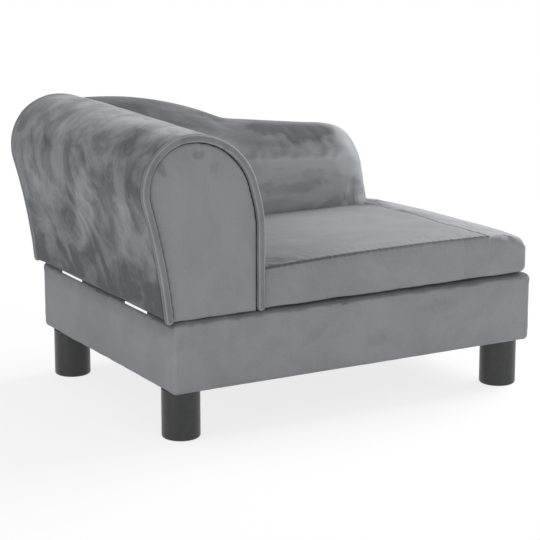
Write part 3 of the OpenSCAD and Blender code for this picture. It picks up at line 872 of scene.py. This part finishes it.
def back_relief(at, normal):
    """A full shoulder, creases across the front at half height and tucks at the end."""
    u, v = (at.x - SHOULDER[0]) / 26, (at.z - SHOULDER[1]) / 22
    shoulder = SHOULDER_OUT * math.exp(-u * u - v * v) * max(0, 1 - ((at.y - RIDGE_Y) / 42) ** 2)
    if normal.y > -0.1:
        return shoulder + 0.3 * wave(at, 40, 2.0)
    low = 0.5 * wave(at, 60, 4.2)
    cross = wave((at.x / 6, 0, at.z), 14, 6.5)
    band = fade(abs(at.z - CREASE_Z), CREASE_HIGH)
    out = (at.x - TUCK_X) / TUCK_WIDE
    tuck = math.sin(out * 6 + at.z / 25) * fade(abs(out), 1) * fade(at.z - TUCK_Z, TUCK_HIGH)
    return shoulder + low + 0.9 * cross * band + 0.8 * tuck


BACK_MARKS = [((398, 322), (52, 12), 8, -0.40), ((330, 331), (34, 9), -4, -0.34),
              ((350, 247), (60, 7), 2, -0.24), ((380, 262), (16, 12), 0, -0.16),
              ((225, 250), (90, 9), 3, -0.18), ((360, 290), (70, 18), 0, 0.10),
              ((440, 290), (16, 50), 0, 0.04)]


def back_marks(at, normal):
    """Brushed marks on the front of the backrest, its dark top, painted shade on the top near the
    arm and on the end, and its shaded foot.
    """
    foot = -0.10 * fade(at.z - 212, 26) * (normal.y < 0)
    top = -0.72 * clamp((normal.z - 0.2) / 0.4) * clamp((450 - at.x) / 30)
    # Painted shade on the top, towards the arm's crown.
    top -= 0.40 * max(0, normal.z) * fade(at.x - ROLL_X, 170)
    front = clamp((RIDGE_Y - at.y) / 25)
    # Painted shade on the backrest's end.
    end = -0.14 * max(0, normal.x)
    return foot + top + end + front * marked(BACK_MARKS, at.x, at.z, 1.7)


bump_out(back, back_relief)
paint(back, "marks", back_marks)
upholster(back, plush_back, "lid", ["back_cover", "back_foam"], 0.9)

# %% [markdown]
# The rear is closed by one covered board, cut to the arm and the backrest together. The
# CAD node has the right outline, so a merged copy of it is remeshed to round its edges.

# %% Rear panel


def node_copy(node, name):
    """A merged copy of a CAD node as a piece of its own."""
    return tidy(linked(name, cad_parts[node].data.copy()))


rear_panel = remeshed(node_copy("back_panel", "rear_panel"), 2.5)
for v in rear_panel.data.vertices:
    v.co = place(*settled(here(v)))
bump_out(rear_panel, lambda at, normal: 0.4 * wave(at, 90, 1.5) + 0.15 * wave(at, 25, 1.0))
upholster(rear_panel, plush_panel, "lid", ["back_panel"], 1.0, soften=0)

# %% [markdown]
# The seat pad is a boxed cushion: a top, a long front and a strip at the open end that
# rolls over and down. It is built as a box of even squares whose corners are rounded by
# moving each point onto a radius, then bent to the pad's crown and fall. Its rear follows
# the backrest's round end, so the two stay clear of each other.

# %% Seat pad
SEAT_H, SEAT_CROWN, SEAT_FALL, SEAM_RISE = 53.5, 3, 14, 2.5
STRIP_W, STRIP_FALL, STRIP_SAG = 61, 14, 6
SEAM_R, END_ROUND, TOP_ROUND, HEM_R, END_HEM_R = 3, 9, 12, 6, 8
SEAM_X = SEAT_HI.x - STRIP_W
GRID_X, GRID_Y = 2.6, 6.0
REAR_GAP = 0.8
BOARD_COVER, FOOT_REACH = 1.4, 1.8
SEAM_IN, SEAM_SWAY, SWAY_LONG = 10, 2.2, 116
FAR = 99
HEM_FREE_X = 538


def seat_rear(x):
    """How far back the pad runs at x: to the backrest, or past its end."""
    front_x = end_p[0] - BACK_DROP / end_n[0]
    reach_x = end_p[0] + REAR_GAP
    near = BACK_Y - BULGE * 0.3 - REAR_GAP
    if x <= front_x:
        return near
    if x >= reach_x:
        return SEAT_HI.y + BOARD_COVER
    t = (x - front_x) / (reach_x - front_x)
    return RIDGE_Y - (RIDGE_Y - near) * math.sqrt(max(0, 1 - t * t))


def seat_top(x, y):
    """Height of the pad's top, before its edges are rounded."""
    u = min(1, (x - ARM_W) / (SEAM_X - ARM_W))
    v = y / SEAT_HI.y
    t = max(0, (x - SEAM_X) / STRIP_W)
    return (LID_Z + SEAT_H + SEAT_CROWN * 4 * u * (1 - u) + SEAM_RISE * u - SEAT_FALL * v * v
            - (STRIP_FALL + STRIP_SAG * v) * t * t)


def seam_x(y):
    """Where the strip's seam lies: not quite straight, and further out at the front edge."""
    sway = SEAM_SWAY * math.cos(2 * math.pi * (y - 160) / SWAY_LONG)
    return SEAM_X - SEAM_IN + sway + 6 * fade(y, 40)


def rounded(a, b, room_a, room_b, radius):
    """Moves a point in a corner onto a radius. a and b are its distances from two faces."""
    ra, rb = min(radius, room_a), min(radius, room_b)
    if a >= ra or b >= rb:
        return a, b
    da, db = (ra - a) / ra, (rb - b) / rb
    scale = max(da, db) / math.hypot(da, db)
    return ra - da * scale * ra, rb - db * scale * rb


def seat_point(x, y_share, z_share):
    """A point of the even box moved to its place on the pad."""
    y_near = SEAT_LO.y + (min(seat_rear(x), BACK_Y + 30) - SEAT_LO.y) * y_share
    edge = SEAT_HI.x - END_ROUND
    tent = (x - SEAT_LO.x) / (SEAM_X - SEAT_LO.x) if x < SEAM_X else (edge - x) / (edge - SEAM_X)
    x += (seam_x(y_near) - SEAM_X) * max(0, tent)
    lean = SEAT_H * z_share * math.tan(math.radians(END_A))
    y1 = seat_rear(x + lean + FOOT_REACH * (1 - z_share))
    depth = y1 - SEAT_LO.y
    y = SEAT_LO.y + depth * y_share
    high = seat_top(x, y) - LID_Z
    blend = clamp((x - SEAM_X) / STRIP_W)
    front_r = SEAM_R + (END_ROUND - SEAM_R) * blend
    from_end = SEAT_HI.x - x
    from_front = y - SEAT_LO.y
    from_top = high - high * z_share
    from_front, from_top = rounded(from_front, from_top, depth / 2, high / 2, front_r)
    from_end, from_top = rounded(from_end, from_top, TOP_ROUND, high / 2, TOP_ROUND)
    from_foot = high - from_top
    from_front, from_foot = rounded(from_front, from_foot, depth / 2, high / 2, HEM_R)
    from_end, from_foot = rounded(from_end, from_foot, END_HEM_R, high / 2, END_HEM_R)
    from_end, from_front = rounded(from_end, from_front, END_ROUND, depth / 2, END_ROUND)
    return SEAT_HI.x - from_end, SEAT_LO.y + from_front, LID_Z + from_foot


def stations(lo, hi, fine, step):
    """Places from lo to hi, closer together near the ends so that they round well."""
    ends = (0, 0.15, 0.35, 0.65, 1.0)
    near = [lo + t * fine for t in ends]
    far = [hi - t * fine for t in reversed(ends)]
    n = max(1, round((far[0] - near[-1]) / step))
    return near + steps(near[-1], far[0], n)[1:-1] + far


def box_of_squares(xs, ys, zs, point):
    """Points and faces of a box's surface in squares. point(x, y, z) places each point."""
    nx, ny, nz = len(xs) - 1, len(ys) - 1, len(zs) - 1
    index, points, faces = {}, [], []

    def at(i, j, k):
        """The number of a point, which is made when it is first asked for."""
        if (i, j, k) not in index:
            index[i, j, k] = len(points)
            points.append(point(xs[i], ys[j], zs[k]))
        return index[i, j, k]

    for k in (0, nz):
        faces += [[at(i, j, k), at(i + 1, j, k), at(i + 1, j + 1, k), at(i, j + 1, k)]
                  for i in range(nx) for j in range(ny)]
    for j in (0, ny):
        faces += [[at(i, j, k), at(i + 1, j, k), at(i + 1, j, k + 1), at(i, j, k + 1)]
                  for i in range(nx) for k in range(nz)]
    for i in (0, nx):
        faces += [[at(i, j, k), at(i, j + 1, k), at(i, j + 1, k + 1), at(i, j, k + 1)]
                  for j in range(ny) for k in range(nz)]
    return points, faces


seat_xs = [x for x in stations(SEAT_LO.x, SEAT_HI.x, TOP_ROUND, GRID_X) if abs(x - SEAM_X) > 4.5]
seat_xs = sorted(seat_xs + [SEAM_X + o for o in (-3.6, -2.2, -1.1, 0, 1.1, 2.2, 3.6)])
seat_ys = [s / 400 for s in stations(0, 400, END_ROUND, GRID_Y)]
seat_zs = [s / 50 for s in stations(0, 50, TOP_ROUND, 4.0)]
seat = tidy(mesh_object("seat_pad", *box_of_squares(seat_xs, seat_ys, seat_zs, seat_point)))


def front_seam_distance(at):
    """Distance from the seam along the top's front edge."""
    if at.x > seam_x(0) + 1:
        return FAR
    return math.hypot(at.y - SEAT_LO.y - 1, at.z - seat_top(at.x, at.y) + 1)


def strip_seam_distance(at):
    """Distance from the seam across the top, where the end strip starts."""
    return abs(at.x - seam_x(at.y)) if at.z > seat_top(at.x, at.y) - 2.5 else FAR


def seat_held(at, normal):
    """Seams and everything out of sight stay."""
    hidden = at.z < LID_Z + 7 or at.x < SEAT_LO.x + 3 or at.y > seat_rear(at.x) - 3
    near = min(front_seam_distance(at), strip_seam_distance(at))
    return 1.0 if hidden or near < 3 else 0.0


swell(seat, seat_held, 2.5, 2.5, spare=0.006)
cut(seat, lid_board_room())


def seat_relief(at, normal):
    """A groove along each seam, puckers that the stitches draw, and a hem that hangs."""
    front, strip = front_seam_distance(at), strip_seam_distance(at)
    groove = -0.8 * fade(front, 2.5) - 1.6 * fade(strip, 2.2)
    pucker = 0.35 * wave((at.x, at.y, 0), 9, 9.0) * fade(min(front, strip), 13)
    phase = at.x * 2 * math.pi / 9.5 + 3 * wave((at.x, 0, 0), 30, 4.0)
    pucker += 0.55 * math.sin(phase) * fade(front, 11)
    foot = fade(at.z - LID_Z, 8) * (at.y < 7 or at.x > HEM_FREE_X)
    hem = foot * (1.5 + 0.9 * wave(at, 26, 3.3))
    return groove + pucker + 0.5 * wave(at, 80, 7.7) + hem


def seat_marks(at, normal):
    """The seams' shade, a painted highlight beside the strip's seam, the strip's painted sheen,
    painted shade on the front face, and the shade next to arm and backrest.
    """
    front, strip = front_seam_distance(at), strip_seam_distance(at)
    seams = -0.45 * fade(front, 2.2) - 0.65 * fade(strip, 1.8)
    # Painted highlight just beside the strip's seam.
    beside = 0.08 * fade(abs(strip - 4), 3)
    face = 0.0
    # Front face: a little random tone, and painted shade over the face, deepest just below the
    # seam.
    if normal.y < -0.6:
        below = seat_top(at.x, at.y) - at.z
        face = 0.03 * wave(at, 40, 2.2) - 0.10 * fade(below, 14) - 0.08
    shy = 0.0
    if normal.z > 0.3:
        to_back = max(0, seat_rear(at.x) - at.y) if at.x < end_p[0] else FAR
        shy = -0.54 * math.exp(-(at.x - ARM_W) / 110) - 0.75 * math.exp(-max(0, to_back - 8) / 24)
    # Painted sheen: the strip's top is made lighter.
    strip_painted_sheen = 0.44 * (at.x > seam_x(at.y) + 1) * (normal.z > 0.3)
    return seams + beside + strip_painted_sheen + face + shy


def seat_gather(at, normal):
    """How strongly the cloth is rippled next to the front seam."""
    return fade(front_seam_distance(at), 12) ** 1.5


bump_out(seat, seat_relief)
paint(seat, "marks", seat_marks)
paint(seat, "gather", seat_gather)
upholster(seat, plush_seat, "lid", ["seat_cover", "seat_foam"], 0.9)

# %% [markdown]
# The box's cover is a band of plush over wadding, drawn over the rim and tucked under the
# floor. Its section is swept round the rounded rectangle of the box. The rim is a little
# uneven where the staples under the lining pull it, and the lid's rubber buttons have
# pressed two dents into it.

# %% Box cover
SOFT_R, TUCK = 8, 14
stop_lo, stop_hi = span("lid_stops")
STOPS = [(stop_lo.x + 4, stop_lo.y + 4), (stop_lo.x + 4, stop_hi.y - 4)]


def box_ring(inset, z, n=6, step=5.0):
    """The box's outline seen from above, drawn in, at one height."""
    r = max(SOFT_R - inset, 0.3)
    x1, y1 = BOX_LEN - inset - r, BOX_DEP - inset - r
    x0 = y0 = inset + r
    corners = [arc((x1, y1), r, 0, 90, n), arc((x0, y1), r, 90, 180, n),
               arc((x0, y0), r, 180, 270, n), arc((x1, y0), r, 270, 360, n)]
    counts = [round((BOX_LEN - 2 * SOFT_R) / step), round((BOX_DEP - 2 * SOFT_R) / step)]
    ring = []
    for side, points in enumerate(corners):
        ring += points
        ring += line(points[-1], corners[(side + 1) % 4][0], counts[side % 2])[:-1]
    return [(x, y, z) for x, y in ring]


def box_section():
    """Pairs of inset and height: under the floor, up the side, over the rim and inside."""
    turns = steps(0, math.pi / 2, 6)
    lower = [(SOFT_R * (1 - math.sin(a)), LEG_H + SOFT_R * (1 - math.cos(a))) for a in turns]
    upper = [(SOFT_R * (1 - math.cos(a)), RIM_Z - SOFT_R * (1 - math.sin(a))) for a in turns]
    side = [(0.0, z) for z in steps(lower[-1][1], upper[0][1], 16)[1:-1]]
    under = [(WAD + TUCK, LEG_H + 1.0), (WAD + TUCK, LEG_H), (WAD + 7, LEG_H)]
    rim = [(13.0, RIM_Z), (RIM_IN - 2, RIM_Z), (RIM_IN, RIM_Z - 1.0), (RIM_IN, RAIL_TOP),
           (WAD, RAIL_TOP)]
    back_way = [(WAD, z) for z in steps(RAIL_TOP, LEG_H + 2, 5)[1:]]
    return under + lower + side + upper + rim + back_way + [(WAD + TUCK, LEG_H + 2)]


box_rings = [box_ring(d, z) for d, z in box_section()]
m = len(box_rings[0])
n = len(box_rings)
box_faces = [[i * m + j, i * m + (j + 1) % m, (i + 1) % n * m + (j + 1) % m, (i + 1) % n * m + j]
             for i in range(n) for j in range(m)]
box = tidy(mesh_object("box_cover", [p for ring in box_rings for p in ring], box_faces))


def box_inset(at):
    """How far a point lies in from the nearest side of the box."""
    return min(at.x, at.y, BOX_LEN - at.x, BOX_DEP - at.y)


def box_relief(at, normal):
    """Uneven rim, slack sides and gathers at the upright corners."""
    inside = box_inset(at)
    if inside > WAD - 0.5 and at.z < RAIL_TOP + 1:
        return 0.0
    dent = max(fade(math.hypot(at.x - x, at.y - y), 13) for x, y in STOPS)
    rim = fade(RIM_Z - at.z, 12) * (1.7 + 1.2 * wave(at, 30, 2.2) + 0.8 * wave(at, 12, 6.0))
    slack = 0.6 * wave(at, 90, 5.5) + 0.2 * wave(at, 24, 1.2)
    to_corner = math.hypot(min(at.x, BOX_LEN - at.x), min(at.y, BOX_DEP - at.y))
    gather = 0.4 * math.sin(at.z / 3.2) * fade(to_corner, 16) * (at.z < LEG_H + 26)
    foot = fade(at.z - LEG_H, 10) * 0.7 * wave(at, 22, 3.3)
    return rim * (1 - dent) - 0.6 * dent * (at.z > RIM_Z - 3) + slack + gather + foot


BOX_MARKS = [((300, 100), (14, 10), 20, -0.10), ((205, 118), (22, 7), 30, -0.06),
             ((395, 132), (26, 8), 0, -0.06), ((470, 95), (20, 12), 0, 0.05)]


def box_marks(at, normal):
    """Brushed marks on the front, painted shadow along the rim, a darker foot, and painted light
    and shadow on the left side.
    """
    # Painted shadow of the lid along the rim, with a ragged edge.
    ragged = 3.6 + 1.6 * wave(at, 16, 8.1) + 0.8 * wave(at, 5, 2.7)
    rim = -0.34 * clamp(ragged - (RIM_Z - at.z)) - 0.06 * fade(at.z - LEG_H, 40)
    # Left side: painted light over the face, and painted shadow under the arm at its top.
    if normal.x < -0.5:
        rim += 0.07 - 0.30 * fade(RIM_Z - at.z, 26)
    return rim + marked(BOX_MARKS, at.x if at.y < 12 else -at.y, at.z, 1.9)


bump_out(box, box_relief)
paint(box, "marks", box_marks)
upholster(box, plush_box, "base", ["base_cover"], 1.0)

# %% [markdown]
# Three thin black cloths: the lining glued into the box, the one under the lid, and the
# dust cloth under the sofa. Each is a closed sheet of its real thickness, because a single
# face would show through from behind.

# %% Linings


def cloth_finish(built, body, node):
    """Finish and body of one thin cloth, with its CAD node hidden."""
    smooth(built, nonwoven)
    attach(built, body)
    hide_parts(node)
    print(built.name, len(built.data.vertices), "points")
    return built


CLOTH_SQUARE = 12


def flat_cloth(name, lo, hi, sag, seed):
    """A level cloth between two corners, slightly slack between its edges."""

    def hung(x, y, side):
        """A point of the lower or the upper side."""
        loose = min(1, min(x - lo.x, hi.x - x, y - lo.y, hi.y - y) / 40)
        drop = sag * loose * (0.6 + 0.4 * wave((x, y, 0), 60, seed))
        return (x, y, lo.z - drop + (hi.z - lo.z) * side)

    xs = steps(lo.x, hi.x, round((hi.x - lo.x) / CLOTH_SQUARE))
    ys = steps(lo.y, hi.y, round((hi.y - lo.y) / CLOTH_SQUARE))
    return tidy(mesh_object(name, *box_of_squares(xs, ys, (0, 1), hung)))


dust_lo, dust_hi = span("dust_cloth")
dust = flat_cloth("dust_sheet", dust_lo, dust_hi, 1.5, 2.4)
cloth_finish(dust, "base", "dust_cloth")
under_lo, under_hi = span("lid_cloth")
under = flat_cloth("lid_sheet", under_lo, under_hi, 0.0, 1.0)
cloth_finish(under, "lid", "lid_cloth")


def gridded(built, step):
    """Cuts a boxy piece into even squares by planes across each axis, with sharp edges."""

    def squares(work):
        """The cuts, and the edges that stay sharp."""
        bmesh.ops.dissolve_limit(work, angle_limit=math.radians(1), verts=work.verts,
                                 edges=work.edges)
        for k in range(3):
            lo = min(v.co[k] for v in work.verts)
            hi = max(v.co[k] for v in work.verts)
            across = Vector([1.0 if axis == k else 0.0 for axis in range(3)])
            for at in steps(lo, hi, round((hi - lo) / (step * MM)))[1:-1]:
                bmesh.ops.bisect_plane(work, geom=work.verts[:] + work.edges[:] + work.faces[:],
                                       plane_co=across * at, plane_no=across)
        for edge in work.edges:
            edge.smooth = edge.calc_face_angle(0) < math.radians(30)

    return rework(built, squares)


box_lo, box_hi = span("box_lining")
box_middle = (box_lo + box_hi) / 2


def lining_relief(at, normal):
    """Glued cloth is never quite flat on the side that shows."""
    shows = (box_middle - at).dot(normal) > 0
    return 0.6 * max(0, wave(at, 45, 5.0)) * shows


lining = gridded(node_copy("box_lining", "lining"), 8)
bump_out(lining, lining_relief)
cloth_finish(lining, "base", "box_lining")

# %% [markdown]
# What repeats is made by Geometry Nodes: the stitches along the pad's seams and the staples
# round the dust cloth. Points are set at the pitch along a curve, and a small form is put
# on each, turned along the curve. The export drops instances, so the tree makes them real.

# %% Rows along a seam


def row_tree(name, form, material):
    """A tree that sets a small form at a pitch along a curve."""
    tree = bpy.data.node_groups.new(name, "GeometryNodeTree")
    socket = tree.interface.new_socket
    socket(name="Seam", in_out="INPUT", socket_type="NodeSocketGeometry")
    for label in ("Pitch", "Length", "Width", "Height"):
        socket(name=label, in_out="INPUT", socket_type="NodeSocketFloat")
    socket(name="Row", in_out="OUTPUT", socket_type="NodeSocketGeometry")
    given = add(tree, "NodeGroupInput").outputs
    spaced = add(tree, "GeometryNodeResampleCurve", {
        "Curve": given["Seam"], "Length": given["Pitch"]}, mode="LENGTH")
    size = add(tree, "ShaderNodeCombineXYZ", {
        0: given["Length"], 1: given["Width"], 2: given["Height"]}).outputs[0]
    if form == "stitch":
        ball = add(tree, "GeometryNodeMeshUVSphere", {"Segments": 6, "Rings": 5, "Radius": 0.5})
        one = add(tree, "GeometryNodeTransform", {0: ball.outputs[0], "Scale": size})
    else:
        one = add(tree, "GeometryNodeMeshCube", {"Size": size})
    turn = add(tree, "FunctionNodeAlignRotationToVector", {
        "Vector": add(tree, "GeometryNodeInputTangent").outputs[0]}, axis="X")
    rows = add(tree, "GeometryNodeInstanceOnPoints", {
        "Points": spaced.outputs[0], "Instance": one.outputs[0], "Rotation": turn.outputs[0]})
    real = add(tree, "GeometryNodeRealizeInstances", {0: rows.outputs[0]})
    done = add(tree, "GeometryNodeSetMaterial", {0: real.outputs[0], "Material": material})
    add(tree, "NodeGroupOutput", {0: done.outputs[0]})
    return tree


def seam_curve(name, points):
    """An open curve through points in millimetres."""
    curve = bpy.data.curves.new(name, "CURVE")
    curve.dimensions = "3D"
    spline = curve.splines.new("POLY")
    spline.points.add(len(points) - 1)
    for at, p in zip(spline.points, points):
        at.co = (*place(*p), 1)
    return linked(name, curve)


def row_along(name, points, tree, sizes, body):
    """Runs the tree on a seam and keeps the result as a plain mesh."""
    guide = seam_curve(name + "_guide", points)
    rows = guide.modifiers.new("rows", "NODES")
    rows.node_group = tree
    for item in tree.interface.items_tree:
        if item.in_out == "INPUT" and item.name in sizes:
            rows[item.identifier] = sizes[item.name] * MM
    graph = bpy.context.evaluated_depsgraph_get()
    graph.update()
    mesh = bpy.data.meshes.new_from_object(guide.evaluated_get(graph))
    bpy.data.objects.remove(guide)
    built = linked(name, mesh)
    smooth(built)
    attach(built, body)
    print(name, len(mesh.polygons), "faces")
    return built


stitches = row_tree("stitch_row", "stitch", thread)
STITCH = {"Pitch": 4.0, "Length": 2.8, "Width": 0.8, "Height": 0.8}
front_seam = [(x, SEAT_LO.y + 1.6, seat_top(x, SEAT_LO.y) - 0.9)
              for x in steps(ARM_W + 2, seam_x(0) + 2, 40)]
row_along("front_seam_stitches", front_seam, stitches, STITCH, "lid")
strip_seam = [(seam_x(y), y, seat_top(seam_x(y), y) - 0.6)
              for y in steps(SEAT_LO.y + 5, BACK_Y + 5, 30)]
row_along("strip_seam_stitches", strip_seam, stitches, STITCH, "lid")

staples = row_tree("staple_row", "staple", zinc)
STAPLE = {"Pitch": 36.0, "Length": 10.0, "Width": 0.9, "Height": 0.7}
inset = dust_lo.x + 5
far_x, far_y = BOX_LEN - inset, BOX_DEP - inset
hem = [(x, y, LEG_H - 0.2) for x, y in ((inset, inset), (far_x, inset), (far_x, far_y),
                                        (inset, far_y), (inset, inset))]
row_along("dust_sheet_staples", hem, staples, STAPLE, "base")

# %% [markdown]
# A product picture's set: a plain pale floor and even light from a large soft lamp above on
# the right, two weaker ones on the left and in front, and the world. What the eye sees
# behind the sofa is white by its own colour, picked by Light Path, so that it throws no
# extra light on the object.

# %% Floor, world and lamps
FLOOR_HALF = 6.0
WORLD_LIGHT = 0.54


def background_share(tree):
    """1 for rays that look at the background, straight or by gloss or glass."""
    rays = add(tree, "ShaderNodeLightPath").outputs
    seen = maths(tree, "MAXIMUM", rays["Is Camera Ray"], rays["Is Glossy Ray"])
    return maths(tree, "MAXIMUM", seen, rays["Is Transmission Ray"])


def studio_floor():
    """Pale paper. A share of white is added for the eye, and the shadow stays."""
    material, tree, shader, where = new_material("paper_floor", {
        "Base Color": linear("#f5f5f5"), "Roughness": 0.9, "Specular IOR Level": 0.1})
    white = add(tree, "ShaderNodeEmission", {"Color": linear("#ffffff"), "Strength": 1.0})
    out = add(tree, "ShaderNodeVectorMath", {0: where}, operation="LENGTH").outputs["Value"]
    share = maths(tree, "MULTIPLY", background_share(tree), ranged(tree, out, 0.5, 1.5, 0.8, 1.0))
    both = add(tree, "ShaderNodeMixShader", {0: share, 1: shader.outputs[0], 2: white.outputs[0]})
    output = next(n for n in tree.nodes if n.type == "OUTPUT_MATERIAL")
    tree.links.new(both.outputs[0], output.inputs["Surface"])
    mesh = bpy.data.meshes.new("floor")
    mesh.from_pydata([(x * FLOOR_HALF, y * FLOOR_HALF, 0)
                      for x, y in ((-1, -1), (1, -1), (1, 1), (-1, 1))], [], [(0, 1, 2, 3)])
    mesh.materials.append(material)
    floor = linked("floor", mesh)


def lamp(name, place_m, target, size, watts):
    """A square soft lamp that faces a target."""
    made = linked(name, bpy.data.lights.new(name, "AREA"))
    made.data.energy = watts
    made.data.size = size
    made.location = place_m
    made.rotation_mode = "QUATERNION"
    made.rotation_quaternion = (Vector(target) - Vector(place_m)).to_track_quat("-Z", "Y")


studio_floor()
world = bpy.data.worlds.new("studio")
world.use_nodes = True
sky = world.node_tree
sky.nodes.clear()
light = add(sky, "ShaderNodeBackground", {"Color": linear("#ffffff"), "Strength": WORLD_LIGHT})
seen = add(sky, "ShaderNodeBackground", {"Color": linear("#ffffff"), "Strength": 1.0})
both = add(sky, "ShaderNodeMixShader", {
    0: background_share(sky), 1: light.outputs[0], 2: seen.outputs[0]})
add(sky, "ShaderNodeOutputWorld", {0: both.outputs[0]})
bpy.context.scene.world = world
lamp("top_right_lamp", (1.9, 0.3, 1.9), (0.1, 0, 0.2), 1.5, 66)
lamp("left_lamp", (-2.3, -0.7, 0.5), (0, 0, 0.08), 1.3, 15)
lamp("front_lamp", (0.6, -2.7, 0.8), (0, 0, 0.1), 1.6, 12)
bpy.context.scene.view_settings.view_transform = "Standard"
